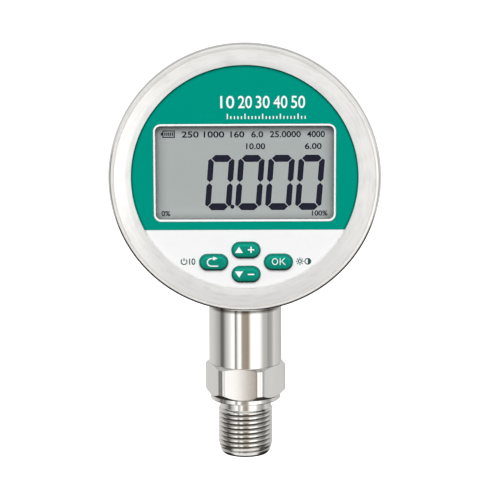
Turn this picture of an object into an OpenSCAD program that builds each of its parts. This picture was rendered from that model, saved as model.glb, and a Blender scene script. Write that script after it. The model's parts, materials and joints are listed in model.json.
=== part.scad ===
// Digital pressure gauge on a threaded steel stem.
// Lengths are millimetres. +Z points up the stem, the display faces -Y, and the
// origin is the centre of the thread's end face, under the middle of the case.

/* [Case] */
// Outside diameter of the case body
case_d = 91; // [91:0.5:96]
// Depth of the whole case, from the bezel's front to the back
case_depth = 47.5; // [46:0.5:55]
// Thickness of the case wall
case_wall = 1.5; // [1.2:0.1:1.8]
// Radius of the case's rounded back edge
case_edge_r = 6; // [4:0.5:6.5]
// Height of the case's centre above the end of the thread
case_rise = 112.7; // [111:0.1:125]

/* [Bezel] */
// Radial width of the bezel outside the case body
bezel_overhang = 5.6; // [4:0.1:7]
// Radial width of the bezel's lip over the face
bezel_lip_w = 2.9; // [2.8:0.1:3.6]
// Depth of the bezel, from front to back
bezel_depth = 10; // [9:0.1:10.5]
// Radius of the front edge of the bezel's rim
bezel_round_r = 2.2; // [1.5:0.1:2.6]
// Radial width by which the rim stands out over the bezel's skirt
bezel_rim_w = 1.8; // [1:0.1:2.4]
// Depth that the satin band falls from the rim towards the face
bezel_band_drop = 1.4; // [0.8:0.1:1.8]
// Radial width of the bevel inside the satin band
bezel_bevel_w = 2.3; // [1.5:0.1:3]
// Depth that the bevel falls
bezel_bevel_drop = 1.1; // [0.6:0.1:1.3]
// Depth of the face behind the rim's front
face_recess = 3.8; // [3.6:0.1:4.4]

/* [Face] */
// Thickness of the face plate
face_t = 3; // [2.6:0.1:3.4]
// Thickness of the printed green film
film_t = 0.25; // [0.15:0.05:0.4]
// Distance of the film's straight lower edge below the case's centre
film_drop = 20.2; // [19.8:0.1:22.5]
// Width of the window frame
window_w = 68.4; // [66:0.1:70]
// Height of the window frame
window_h = 37.2; // [36:0.1:38]
// Height of the window's centre above the case's centre
window_rise = 1.6; // [1:0.1:2]
// Visible width of the window frame's rim
window_rim_w = 0.75; // [0.6:0.05:1]
// Corner radius of the window frame
window_corner_r = 2.8; // [2:0.1:3.5]

/* [Display] */
// Distance between the upright strokes of a digit
digit_w = 7.74; // [7:0.02:8]
// Distance from a digit's middle to its top stroke
digit_half_h = 9.4; // [8:0.1:9.8]
// Distance between neighbouring digits
digit_step = 11.3; // [10.6:0.1:11.5]
// Place of the first digit, from the middle of the window
first_digit_x = -9.35; // [-10:0.05:-8.5]
// Distance of the digits' middle below the window's centre
digit_drop = 4.2; // [3:0.1:4.4]
// Width of an upright stroke
upright_w = 2.05; // [1.6:0.05:2.3]
// Width of a level stroke
level_w = 2.45; // [1.8:0.05:2.6]
// Diameter of the decimal point
point_d = 1.6; // [1.2:0.1:1.8]

/* [Keys] */
// Width of a key
key_w = 11; // [10:0.1:11.2]
// Height of a key
key_h = 6.4; // [6:0.1:7]
// Height of a key above the face
key_rise = 1.3; // [1:0.1:1.8]
// Radius of a key's front edge
key_edge_r = 0.9; // [0.5:0.1:0.9]
// Distance that a key travels when it is pressed
key_travel = 0.8; // [0.5:0.05:0.9]
// Half the distance between the left and the right key
key_side_step = 12.2; // [12:0.1:13]
// Half the distance between the upper and the lower key
key_level_step = 4.65; // [4.6:0.05:4.9]
// Distance of the keys' middle below the case's centre
key_drop = 32.55; // [32.4:0.05:33]
// Sideways place of the keys' middle
key_shift = 0.4; // [0:0.1:1]

/* [Stem] */
// Outside diameter of the thread, a G 1/2 pipe thread
thread_d = 20.955; // [20.5:0.005:21.5]
// Pitch of the thread
thread_pitch = 1.814; // [1.5:0.002:1.9]
// Depth of the thread, from crest to root
thread_depth = 1.162; // [0.9:0.002:1.2]
// Length of the thread, from its end to the run-out under the collar
thread_len = 17.9; // [16:0.1:19]
// Diameter of the plain neck above the thread
neck_d = 19.6; // [19:0.1:20.4]
// Length of the neck and its run-out cone
neck_len = 4; // [3.4:0.1:5]
// Diameter of the pressure passage
passage_d = 3.5; // [3:0.1:5]
// Height of the round collar under the hexagon
collar_h = 1.7; // [1.2:0.1:3]
// Diameter of that collar
collar_d = 27; // [26:0.5:27.5]
// Width of the hexagon across its flats
hex_af = 28; // [27.5:0.5:28.5]
// Diameter to which the hexagon's corners are turned
hex_corner_d = 31; // [30.4:0.1:31.6]
// Height of the hexagon
hex_h = 13; // [12:0.1:15]
// Turn of the hexagon about the stem, in degrees
hex_turn = -8; // [-30:1:30]
// Outside diameter of the stem tube
tube_d = 28; // [27:0.1:28.5]
// Thickness of the stem tube's wall
tube_wall = 1.95; // [1.7:0.05:2.1]

/* [Sensor] */
// Diameter of the pressure sensor's capsule
sensor_d = 19; // [18:0.1:19.4]
// Height of the pressure sensor's capsule
sensor_h = 9; // [8:0.1:10]
// Diameter of the sensor's cable
sensor_cable_d = 2.6; // [2:0.1:3]

/* [Battery] */
// Diameter of a battery cell
cell_d = 10.5; // [10:0.1:10.8]
// Length of a battery cell without its nub
cell_len = 43.5; // [43:0.1:44]
// Number of battery cells
cell_count = 3; // [2:1:3]
// Width of the battery cover
cover_w = 69; // [68:0.5:70]
// Height of the battery cover
cover_h = 50; // [49:0.5:50.5]
// Thickness of the battery cover
cover_t = 1.3; // [1.3:0.1:1.5]

/* [Hidden] */

$fn = 96;

// Overrun of every cut past the face that it opens
over = 0.5;
// Gap round a part that is pressed or screwed into another
fit_gap = 0.05;
// Gap round a part that drops into its place
drop_gap = 0.1;
// Gap round a key and its plunger
key_gap = 0.06;

// Case, measured forward from the stem's axis
case_r = case_d / 2;
case_inner_r = case_r - case_wall;
bezel_tube_gap = 0.5;
front_h = tube_d / 2 + bezel_tube_gap + bezel_depth;
back_h = front_h - case_depth;
bezel_r = case_r + bezel_overhang;
opening_r = case_r - bezel_lip_w;
flat_inner_r = opening_r + bezel_bevel_w;
bezel_back_h = front_h - bezel_depth;
bezel_back_chamfer = 0.8;
bezel_rim_land = 0.5;
bezel_rim_slope_share = 1.2;
bezel_bore_gap = 0.1;
face_h = front_h - face_recess;
face_back_h = face_h - face_t;
gasket_t = 0.5;
lip_back_h = face_h + gasket_t;
face_edge_gap = 0.1;
face_r = case_r - face_edge_gap;
gasket_set_back = 0.2;
seal_t = 0.5;
rim_h = face_back_h - seal_t;

// Battery cover in the back wall, with the pad that it is screwed to
cover_gasket_t = 0.5;
cover_corner_r = 8;
pocket_depth = cover_t + cover_gasket_t;
pad_t = 2.4;
pad_margin = 2.5;
pad_h = back_h + pocket_depth + pad_t;
cover_screw_d = 3;
cover_head_d = 5.6;
cover_screw_len = 5;
cover_screw_inset = 5;
hatch_corner_r = 4;
screw_slot_w = 0.8;
screw_slot_depth = 0.6;
screw_slot_share = 0.8;

// Window frame and lens
frame_proud = 0.2;
frame_flange_w = 1.95;
frame_pocket_wall = 1;
frame_web = 0.6;
lens_flange_t = 0.9;
lens_back_gap = 0.2;
lens_set_back = 0.4;
lens_back_h = face_back_h + lens_back_gap;
pocket_h = lens_back_h + lens_flange_t;
flange_h = pocket_h + frame_web;
frame_front_h = face_h + frame_proud;

// Display stack, from the face plate's back to the board
board_gap = 5.7;
board_h = face_back_h - board_gap;
board_t = 1.6;
board_back_h = board_h - board_t;
board_edge_gap = 2.9;
board_r = case_inner_r - board_edge_gap;
front_film_t = 0.3;
segment_t = 0.1;
cell_glass_t = 2;
reflector_t = 0.3;
display_over_w = 1.9;
display_over_h = 2.4;
display_w = window_w + display_over_w;
display_h = window_h + display_over_h;
film_margin = 1;
light_margin = 2;
holder_wall = 1.6;
holder_corner_r = 3;
glass_h = face_back_h - front_film_t;
glass_back_h = glass_h - cell_glass_t;
reflector_back_h = glass_back_h - reflector_t;
zebra_w = 60;
zebra_t = 1.2;
digit_slant_share = 0.077;
stroke_gap = 0.3;
digit_count = 4;

// Keys and the switches behind them
stop_gap = 0.1;
flange_margin = 0.8;
key_flange_t = 1;
plunger_d = 3.4;
plunger_len = 2.4;
press_gap = 0.3;
switch_w = 6;
key_flange_front_h = face_back_h - stop_gap;
key_back_h = key_flange_front_h - key_flange_t;
key_front_h = face_h + key_rise;
switch_front_h = key_back_h - key_travel - press_gap;
plunger_hole_h = switch_front_h - plunger_len;
key_places = [[0, key_level_step], [0, -key_level_step], [-key_side_step, 0],
    [key_side_step, 0]];

// Board screws and the face plate's posts
board_screw_d = 2.5;
board_head_d = 4.6;
board_head_h = 1.6;
board_screw_len = 5;
post_d = 6;
upper_post_x = 22;
upper_post_y = 30.5;
lower_post_x = 26;
lower_post_y = -27;
post_places = [[-upper_post_x, upper_post_y], [upper_post_x, upper_post_y],
    [-lower_post_x, lower_post_y], [lower_post_x, lower_post_y]];

// Stem, measured up from the end of the thread
thread_r = thread_d / 2;
root_r = thread_r - thread_depth;
crest_flat_share = 0.22;
root_flat_share = 0.22;
first_groove_z = 2.6;
groove_half_w = thread_pitch * (1 - crest_flat_share) / 2;
groove_count = floor((thread_len - first_groove_z - groove_half_w) / thread_pitch) + 1;
end_r = 9.2;
end_taper_len = 4.1;
end_chamfer = 0.5;
runout_cone_h = 1.1;
collar_z = thread_len + neck_len;
hex_z = collar_z + collar_h;
hex_top_z = hex_z + hex_h;
hex_r = hex_af / (2 * cos(30));
collar_r = collar_d / 2;
hex_top_chamfer_deg = 30;
hex_low_chamfer_deg = 45;
spigot_len = 12;
tube_r = tube_d / 2;
tube_bore_r = tube_r - tube_wall;
spigot_r = tube_bore_r - fit_gap;
saddle_gap = 0.05;
tube_web = 7;
case_low_z = case_rise - case_r;
tube_shoulder_z = case_low_z - tube_web;
neck_hole_r = 4;
mount_stud_r = 7;
stem_hole_r = mount_stud_r + drop_gap;
boss_r = 12;
boss_h = 1.9;
boss_top_z = case_rise - case_inner_r + boss_h;
washer_t = 1;
washer_r = 9.6;
nut_af = 19;
nut_h = 5;
nut_chamfer = 0.6;
stud_proud = 1;
stud_top_z = boss_top_z + washer_t + nut_h + stud_proud;

// Sensor inside the fitting
sensor_r = sensor_d / 2;
cavity_r = sensor_r + drop_gap;
cavity_floor_z = hex_top_z - 1.7;
oring_d = 1.5;
oring_set_up = 3;
groove_gap = 0.1;
diaphragm_r = 6.5;
diaphragm_depth = 0.8;
header_r = 5.5;
header_h = 1.2;
sensor_top_z = cavity_floor_z + sensor_h;
retainer_h = 3.5;
retainer_hole_r = 6.5;
spanner_slot_w = 2.4;
spanner_slot_depth = 1.2;
cable_r = sensor_cable_d / 2;
cable_bend_r = 5;
socket_drop = 26;
cable_level_z = case_rise - socket_drop;
socket_w = 8;
socket_d = 5;
socket_h = 2.4;
plug_w = 7.2;
plug_d = 4.2;
plug_h = board_back_h - socket_h - cable_bend_r;

// Battery tray on the pad
tray_wall = 2;
tray_floor = 1.5;
cell_play = 0.3;
cell_pitch = cell_d + cell_play;
tray_h = cell_count * cell_pitch + 2 * tray_wall;
tray_depth = tray_floor + cell_d + cell_play;
contact_t = 0.4;
contact_w = 8.5;
nub_d = 5.5;
nub_len = 1;
spring_len = 6.7;
cell_space = cell_len + nub_len + spring_len;
tray_w = cell_space + 2 * contact_t + 2 * tray_wall;
tray_front_h = pad_h + tray_depth;
hatch_w = tray_w - tray_wall;
hatch_h = tray_h - tray_wall;
cell_h = pad_h + cell_play / 2 + cell_d / 2;
ear_w = 6;
ear_h = 9;
ear_t = 3;
tray_screw_d = 2.5;
tray_screw_len = 4.8;
tray_head_d = 4.4;
tray_head_h = 1.5;
tray_screw_x = tray_w / 2 + ear_w / 2;
spring_wire_d = 0.7;
spring_base_r = 3.4;
spring_tip_r = 2;
spring_turns = 3;
spring_steps = 12;
spring_sides = 6;

// Battery leads from the tray to the board
lead_d = 1.4;
lead_sides = 8;
lead_rings = 16;
lead_bow = 1.6;
lead_place_x = 6;
lead_place_y = 14;

// Parts on the back of the board
main_chip_w = 12;
main_chip_h = 1.6;
main_chip_x = -20;
main_chip_y = -3;
side_chip_w = 8;
side_chip_d = 6;
side_chip_x = 17;
side_chip_y = -8;
clock_chip_w = 4;
clock_chip_d = 7;
clock_chip_x = -18;
clock_chip_y = 12;
cap_d = 6;
cap_h = 5;
cap_x = 20;
cap_step = 8;
cap_y = 6;

// Places and outlines

// Puts a drawing of the face, with its height towards the viewer, in the case
module in_case() {
    translate([0, 0, case_rise]) rotate([90, 0, 0]) children();
}

// Puts a face drawing at height h above the stem's axis
module at_height(h) {
    in_case() translate([0, 0, h]) children();
}

module round_rect(w, h, r) {
    square([w - 2 * r, h], center = true);
    square([w, h - 2 * r], center = true);
    for (x = [-1, 1], y = [-1, 1])
        translate([x * (w / 2 - r), y * (h / 2 - r)]) circle(r);
}

module pill(w, h) {
    square([w - h, h], center = true);
    for (x = [-1, 1]) translate([x * (w - h) / 2, 0]) circle(h / 2);
}

module ring(outer, inner, t) {
    difference() {
        cylinder(h = t, r = outer);
        translate([0, 0, -over]) cylinder(h = t + 2 * over, r = inner);
    }
}

// A tube of n-sided rings along a list of points, closed at both ends
module sweep(points, r, sides) {
    n = len(points);
    function heading(i) = let (d = points[min(i + 1, n - 1)] - points[max(i - 1, 0)])
        d / norm(d);
    function side_dir(d) = let (up = abs(d[2]) > 0.9 ? [1, 0, 0] : [0, 0, 1],
        s = cross(d, up)) s / norm(s);
    rings = [for (i = [0:n - 1], k = [0:sides - 1])
        let (d = heading(i), a = side_dir(d), b = cross(d, a), t = 360 * k / sides)
        points[i] + r * (cos(t) * a + sin(t) * b)];
    walls = [for (i = [0:n - 2], k = [0:sides - 1])
        let (k2 = (k + 1) % sides, a = i * sides + k, b = i * sides + k2,
            c = a + sides, d = b + sides)
        each [[a, c, b], [b, c, d]]];
    low_end = [for (k = [0:sides - 1]) k];
    high_end = [for (k = [0:sides - 1]) n * sides - 1 - k];
    polyhedron(rings, concat([low_end], walls, [high_end]));
}

// Case

// Outer shape of the case, or of its hollow when it is drawn in by a wall
module case_solid(wall, top_h) {
    r = case_r - wall;
    edge = case_edge_r - wall;
    low = back_h + wall;
    rotate_extrude() {
        translate([0, low]) square([r - edge, top_h - low]);
        translate([0, low + edge]) square([r, top_h - low - edge]);
        intersection() {
            translate([r - edge, low + edge]) circle(edge);
            translate([0, low]) square([r, case_depth]);
        }
    }
}

module cover_screw_places() {
    for (x = [-1, 1], y = [-1, 1])
        translate([x * (cover_w / 2 - cover_screw_inset),
            y * (cover_h / 2 - cover_screw_inset)]) children();
}

module case_shell() {
    pad_w = cover_w + 2 * pad_margin;
    pad_tall = cover_h + 2 * pad_margin;
    color("silver") difference() {
        in_case() case_solid(0, rim_h);
        difference() {
            in_case() case_solid(case_wall, rim_h + over);
            at_height(back_h - over)
                linear_extrude(pad_h - back_h + over)
                    round_rect(pad_w, pad_tall, cover_corner_r + pad_margin);
            translate([0, 0, case_low_z]) cylinder(h = boss_top_z - case_low_z, r = boss_r);
        }
        at_height(back_h - over) linear_extrude(pocket_depth + over)
            round_rect(cover_w, cover_h, cover_corner_r);
        at_height(back_h - over) linear_extrude(pad_h - back_h + 2 * over)
            round_rect(hatch_w, hatch_h, hatch_corner_r);
        at_height(back_h) cover_screw_places()
            cylinder(h = pad_h - back_h + over, d = cover_screw_d + 2 * fit_gap);
        for (x = [-1, 1]) at_height(pad_h - pad_t)
            translate([x * tray_screw_x, 0]) cylinder(h = pad_t + over,
                d = tray_screw_d + 2 * fit_gap);
        translate([0, 0, case_low_z - over])
            cylinder(h = boss_top_z - case_low_z + 2 * over, r = stem_hole_r);
    }
}

// A rolled ring: a round-edged rim, a satin band and a bevel down to the lip
module bezel_ring() {
    bore_r = case_r + bezel_bore_gap;
    skirt_r = bezel_r - bezel_rim_w;
    round_h = front_h - bezel_round_r;
    rim_back_h = round_h - bezel_rim_land;
    bevel_h = front_h - bezel_band_drop;
    color("lightgray") in_case() rotate_extrude() difference() {
        polygon([[opening_r, lip_back_h], [opening_r, bevel_h - bezel_bevel_drop],
            [flat_inner_r, bevel_h], [bezel_r - bezel_round_r, front_h],
            [bezel_r, front_h], [bezel_r, rim_back_h],
            [skirt_r, rim_back_h - bezel_rim_w * bezel_rim_slope_share],
            [skirt_r, bezel_back_h + bezel_back_chamfer],
            [skirt_r - bezel_back_chamfer, bezel_back_h], [bore_r, bezel_back_h],
            [bore_r, lip_back_h]]);
        translate([bezel_r - bezel_round_r, round_h]) difference() {
            square(bezel_round_r + over);
            circle(bezel_round_r);
        }
    }
}

module bezel_gasket() {
    color("black") at_height(face_h)
        ring(face_r, opening_r + gasket_set_back, gasket_t);
}

module face_seal() {
    color("black") at_height(rim_h) ring(face_r, case_inner_r + drop_gap, seal_t);
}

// Face

module window_place() {
    translate([0, window_rise]) children();
}

// Outline of the green film, drawn in or out by a gap
module film_outline(gap) {
    intersection() {
        circle(face_r - gap);
        translate([-face_r, -film_drop + gap]) square(2 * face_r);
    }
}

module window_outline(grow) {
    round_rect(window_w + 2 * grow, window_h + 2 * grow, window_corner_r + grow);
}

module frame_flange_outline(grow) {
    round_rect(window_w + 2 * frame_flange_w + 2 * grow,
        window_h + 2 * frame_flange_w + 2 * grow, window_corner_r + grow);
}

module key_spots() {
    translate([key_shift, -key_drop])
        for (p = key_places) translate(p) children();
}

module face_plate() {
    color("white") difference() {
        union() {
            at_height(face_back_h) cylinder(h = face_t, r = face_r);
            at_height(board_h) for (p = post_places)
                translate(p) cylinder(h = board_gap + over, d = post_d);
        }
        at_height(face_h - film_t) linear_extrude(film_t + over) film_outline(0);
        at_height(face_back_h - over) linear_extrude(face_t + 2 * over)
            window_place() window_outline(drop_gap);
        at_height(face_back_h - over) linear_extrude(flange_h - face_back_h + over)
            window_place() frame_flange_outline(drop_gap);
        at_height(face_back_h - over) linear_extrude(face_t + 2 * over)
            key_spots() pill(key_w + 2 * key_gap, key_h + 2 * key_gap);
        at_height(board_h - over) for (p = post_places) translate(p)
            cylinder(h = board_screw_len - board_t + 2 * over,
                d = board_screw_d + 2 * fit_gap);
    }
}

module green_film() {
    color([0, 0.58, 0.5]) at_height(face_h - film_t) linear_extrude(film_t)
        difference() {
            film_outline(fit_gap);
            window_place() window_outline(drop_gap);
        }
}

module window_frame() {
    pocket = frame_flange_w - frame_pocket_wall;
    color("white") difference() {
        union() {
            at_height(face_back_h) linear_extrude(flange_h - face_back_h)
                window_place() frame_flange_outline(0);
            at_height(face_back_h) linear_extrude(frame_front_h - face_back_h)
                window_place() window_outline(0);
        }
        at_height(face_back_h - over)
            linear_extrude(frame_front_h - face_back_h + 2 * over)
                window_place() window_outline(-window_rim_w);
        at_height(face_back_h - over) linear_extrude(pocket_h - face_back_h + over)
            window_place() window_outline(pocket);
    }
}

module window_lens() {
    pocket = frame_flange_w - frame_pocket_wall - drop_gap;
    color("lightcyan", 0.35) at_height(lens_back_h) window_place() {
        linear_extrude(lens_flange_t) window_outline(pocket);
        linear_extrude(frame_front_h - lens_set_back - lens_back_h)
            window_outline(-window_rim_w - drop_gap);
    }
}

// Display

module lcd_front_film() {
    color([0.66, 0.69, 0.68]) at_height(glass_h) linear_extrude(front_film_t)
        window_place() square([display_w - 2 * film_margin,
            display_h - 2 * film_margin], center = true);
}

function lean(p) = [p[0] + digit_slant_share * p[1], p[1]];

// A stroke between two corners of a digit, with a point at each end
module stroke(p, q, w) {
    along = (q - p) / norm(q - p);
    across = [-along[1], along[0]] * w / 2;
    start = p + along * stroke_gap;
    end = q - along * stroke_gap;
    polygon([for (c = [start, start + along * w / 2 + across,
        end - along * w / 2 + across, end, end - along * w / 2 - across,
        start + along * w / 2 - across]) lean(c)]);
}

// The six outer strokes of a seven-segment nought
module nought() {
    for (y = [-1, 1]) {
        stroke([-digit_w / 2, y * digit_half_h], [digit_w / 2, y * digit_half_h],
            level_w);
        for (x = [-1, 1])
            stroke([x * digit_w / 2, 0], [x * digit_w / 2, y * digit_half_h],
                upright_w);
    }
}

module lcd_segments() {
    color([0.14, 0.14, 0.2]) at_height(face_back_h) linear_extrude(segment_t)
        window_place() translate([first_digit_x, -digit_drop]) {
            for (i = [0:digit_count - 1]) translate([i * digit_step, 0]) nought();
            translate(lean([(digit_step - upright_w / 4) / 2, -digit_half_h]))
                circle(d = point_d);
        }
}

module lcd_cell() {
    color("lightsteelblue") at_height(glass_back_h) linear_extrude(cell_glass_t)
        window_place() square([display_w, display_h], center = true);
}

module light_outline() {
    square([display_w - 2 * light_margin, display_h - 2 * light_margin],
        center = true);
}

module lcd_reflector() {
    color("gainsboro") at_height(reflector_back_h) linear_extrude(reflector_t)
        window_place() light_outline();
}

module backlight_panel() {
    color("whitesmoke") at_height(board_h) linear_extrude(reflector_back_h - board_h)
        window_place() light_outline();
}

module lcd_holder() {
    inner_w = display_w + 2 * drop_gap;
    inner_h = display_h + 2 * drop_gap;
    color("dimgray") at_height(board_h) linear_extrude(board_gap) window_place()
        difference() {
            round_rect(inner_w + 2 * holder_wall, inner_h + 2 * holder_wall,
                holder_corner_r);
            square([inner_w, inner_h], center = true);
        }
}

module zebra_strips() {
    place_y = (display_h - light_margin) / 2;
    color("dimgray") at_height(board_h) linear_extrude(glass_back_h - board_h)
        window_place() for (y = [-1, 1])
            translate([0, y * place_y]) square([zebra_w, zebra_t], center = true);
}

// Board

module main_board() {
    color("darkgreen") difference() {
        at_height(board_back_h) cylinder(h = board_t, r = board_r);
        at_height(board_back_h - over) for (p = post_places) translate(p)
            cylinder(h = board_t + 2 * over, d = board_screw_d + 2 * drop_gap);
    }
}

// A part of height h soldered to the back of the board
module on_board(x, y, h) {
    at_height(board_back_h - h) translate([x, y]) children();
}

module board_chips() {
    color("darkslategray") {
        on_board(main_chip_x, main_chip_y, main_chip_h)
            linear_extrude(main_chip_h) square(main_chip_w, center = true);
        on_board(side_chip_x, side_chip_y, main_chip_h)
            linear_extrude(main_chip_h) square([side_chip_w, side_chip_d], center = true);
        on_board(clock_chip_x, clock_chip_y, main_chip_h)
            linear_extrude(main_chip_h)
                square([clock_chip_w, clock_chip_d], center = true);
    }
}

module board_capacitors() {
    color("silver") for (i = [0, 1])
        on_board(cap_x, cap_y + i * cap_step, cap_h) cylinder(h = cap_h, d = cap_d);
}

module board_screws() {
    color("silver") for (p = post_places) translate([p[0], 0, p[1]]) difference() {
        union() {
            at_height(board_back_h - board_head_h)
                cylinder(h = board_head_h, d = board_head_d);
            at_height(board_back_h) cylinder(h = board_screw_len, d = board_screw_d);
        }
        at_height(board_back_h - board_head_h - over)
            linear_extrude(screw_slot_depth + over)
                square([board_head_d * screw_slot_share, screw_slot_w], center = true);
    }
}

// Keys

module switch_housings() {
    color("black") translate([key_shift, 0, -key_drop]) for (p = key_places)
        translate([p[0], 0, p[1]]) difference() {
            at_height(board_h) linear_extrude(switch_front_h - board_h)
                square(switch_w, center = true);
            at_height(plunger_hole_h) cylinder(h = plunger_len + over,
                d = plunger_d + 2 * key_gap);
        }
}

// A key's cap with its rounded front edge, and the flange that holds it in
module key(i) {
    rise = key_front_h - key_back_h;
    translate([key_shift + key_places[i][0], 0, key_places[i][1] - key_drop])
        at_height(key_back_h) {
            linear_extrude(rise - key_edge_r) pill(key_w, key_h);
            linear_extrude(rise) pill(key_w - 2 * key_edge_r, key_h - 2 * key_edge_r);
            linear_extrude(key_flange_t)
                pill(key_w + 2 * flange_margin, key_h + 2 * flange_margin);
            for (x = [-1, 1]) translate([x * (key_w - key_h) / 2, 0, rise - key_edge_r])
                rotate_extrude() translate([key_h / 2 - key_edge_r, 0])
                    intersection() {
                        circle(key_edge_r);
                        square(key_edge_r);
                    }
            for (y = [-1, 1]) translate([0, y * (key_h / 2 - key_edge_r),
                rise - key_edge_r]) rotate([0, 90, 0])
                cylinder(h = key_w - key_h, r = key_edge_r, center = true);
        }
}

module key_up() color([0.04, 0.56, 0.47]) key(0);

module key_down() color([0.04, 0.56, 0.47]) key(1);

module key_back() color([0.04, 0.56, 0.47]) key(2);

module key_ok() color([0.04, 0.56, 0.47]) key(3);

// The pin between a key and its switch
module plunger(i) {
    translate([key_shift + key_places[i][0], 0, key_places[i][1] - key_drop])
        at_height(key_back_h - plunger_len) cylinder(h = plunger_len, d = plunger_d);
}

module plunger_up() color("ivory") plunger(0);

module plunger_down() color("ivory") plunger(1);

module plunger_back() color("ivory") plunger(2);

module plunger_ok() color("ivory") plunger(3);

// Stem

// Centre height of a thread groove
function groove_z(i) = first_groove_z + i * thread_pitch;

// Crest radius at height z, drawn in towards the end of the thread
function crest_r(z) = min(thread_r, end_r + (thread_r - end_r) * z / end_taper_len);

// Outline of one groove: down to the root and up again
function groove_points(i) = let (z = groove_z(i),
    low = z - groove_half_w,
    high = z + groove_half_w,
    foot = thread_pitch * root_flat_share / 2,
    root = min(root_r, crest_r(low) - thread_depth / 2))
    [[crest_r(low), low], [root, z - foot], [root, z + foot], [crest_r(high), high]];

// Half outline of the fitting from its end face up to the hexagon
function fitting_outline() = concat(
    [[0, 0], [crest_r(0) - end_chamfer, 0], [crest_r(end_chamfer), end_chamfer]],
    [for (i = [0:groove_count - 1]) each groove_points(i)],
    [[thread_r, thread_len], [neck_d / 2, thread_len + runout_cone_h],
        [neck_d / 2, collar_z], [collar_r, collar_z], [collar_r, hex_z + over],
        [0, hex_z + over]]);

// The hexagon with its corners chamfered at both ends
module hex_body() {
    cut = hex_corner_d / 2;
    low_drop = (cut - collar_r) * tan(hex_low_chamfer_deg);
    top_drop = (cut - collar_r) * tan(hex_top_chamfer_deg);
    intersection() {
        rotate([0, 0, hex_turn]) translate([0, 0, hex_z])
            cylinder(h = hex_h, r = hex_r, $fn = 6);
        rotate_extrude() polygon([[0, hex_z], [collar_r, hex_z],
            [cut, hex_z + low_drop], [cut, hex_top_z - top_drop],
            [collar_r, hex_top_z], [0, hex_top_z]]);
    }
}

module process_fitting() {
    color("gainsboro") difference() {
        union() {
            rotate_extrude() polygon(fitting_outline());
            hex_body();
            translate([0, 0, hex_top_z - over])
                cylinder(h = spigot_len + over, r = spigot_r);
        }
        translate([0, 0, -over])
            cylinder(h = cavity_floor_z + 2 * over, d = passage_d);
        translate([0, 0, cavity_floor_z])
            cylinder(h = hex_top_z + spigot_len, r = cavity_r);
    }
}

module stem_tube() {
    color("lightgray") difference() {
        union() {
            difference() {
                translate([0, 0, hex_top_z])
                    cylinder(h = case_rise - hex_top_z, r = tube_r);
                in_case() translate([0, 0, back_h])
                    cylinder(h = case_depth, r = case_r + saddle_gap);
            }
            translate([0, 0, tube_shoulder_z])
                cylinder(h = stud_top_z - tube_shoulder_z, r = mount_stud_r);
        }
        translate([0, 0, hex_top_z - over])
            cylinder(h = tube_shoulder_z - hex_top_z + over, r = tube_bore_r);
        translate([0, 0, hex_top_z])
            cylinder(h = stud_top_z - hex_top_z + over, r = neck_hole_r);
    }
}

module stem_washer() {
    color("dimgray") translate([0, 0, boss_top_z])
        ring(washer_r, mount_stud_r + fit_gap, washer_t);
}

module stem_nut() {
    nut_r = nut_af / (2 * cos(30));
    base_z = boss_top_z + washer_t;
    color("silver") difference() {
        intersection() {
            translate([0, 0, base_z]) cylinder(h = nut_h, r = nut_r, $fn = 6);
            translate([0, 0, base_z]) rotate_extrude()
                polygon([[0, 0], [nut_r - nut_chamfer, 0],
                    [nut_r, nut_chamfer], [nut_r, nut_h - nut_chamfer],
                    [nut_r - nut_chamfer, nut_h], [0, nut_h]]);
        }
        translate([0, 0, base_z - over])
            cylinder(h = nut_h + 2 * over, r = mount_stud_r + fit_gap);
    }
}

// Sensor

module sensor_capsule() {
    groove_r = sensor_r - oring_d + groove_gap;
    groove_z = cavity_floor_z + oring_set_up;
    groove_w = oring_d + 2 * groove_gap;
    color("silver") difference() {
        union() {
            translate([0, 0, cavity_floor_z]) cylinder(h = sensor_h, r = sensor_r);
            translate([0, 0, sensor_top_z]) cylinder(h = header_h, r = header_r);
        }
        translate([0, 0, cavity_floor_z - over])
            cylinder(h = diaphragm_depth + over, r = diaphragm_r);
        translate([0, 0, groove_z - groove_w / 2])
            ring(sensor_r + over, groove_r - groove_gap, groove_w);
    }
}

module sensor_oring() {
    ring_r = sensor_r - oring_d / 2 + groove_gap / 2;
    color("black") translate([0, 0, cavity_floor_z + oring_set_up])
        rotate_extrude() translate([ring_r, 0]) circle(d = oring_d);
}

module sensor_retainer() {
    color("silver") translate([0, 0, sensor_top_z]) difference() {
        ring(cavity_r - fit_gap, retainer_hole_r, retainer_h);
        translate([-cavity_r, -spanner_slot_w / 2, retainer_h - spanner_slot_depth])
            cube([2 * cavity_r, spanner_slot_w, spanner_slot_depth + over]);
    }
}

module sensor_cable() {
    low_z = sensor_top_z + header_h;
    turn_z = cable_level_z - cable_bend_r;
    color("gray") {
        translate([0, 0, low_z]) cylinder(h = turn_z - low_z, r = cable_r);
        translate([0, -cable_bend_r, turn_z]) rotate([90, 0, 90])
            rotate_extrude(angle = 90) translate([cable_bend_r, 0]) circle(cable_r);
    }
}

module sensor_plug() {
    color("ivory") translate([0, 0, cable_level_z - case_rise])
        at_height(cable_bend_r) linear_extrude(plug_h)
            square([plug_w, plug_d], center = true);
}

module sensor_socket() {
    color("ivory") translate([0, 0, cable_level_z - case_rise])
        at_height(board_back_h - socket_h) linear_extrude(socket_h)
            square([socket_w, socket_d], center = true);
}

// Battery

module cell_rows() {
    for (i = [0:cell_count - 1])
        translate([0, (i - (cell_count - 1) / 2) * cell_pitch]) children();
}

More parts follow.
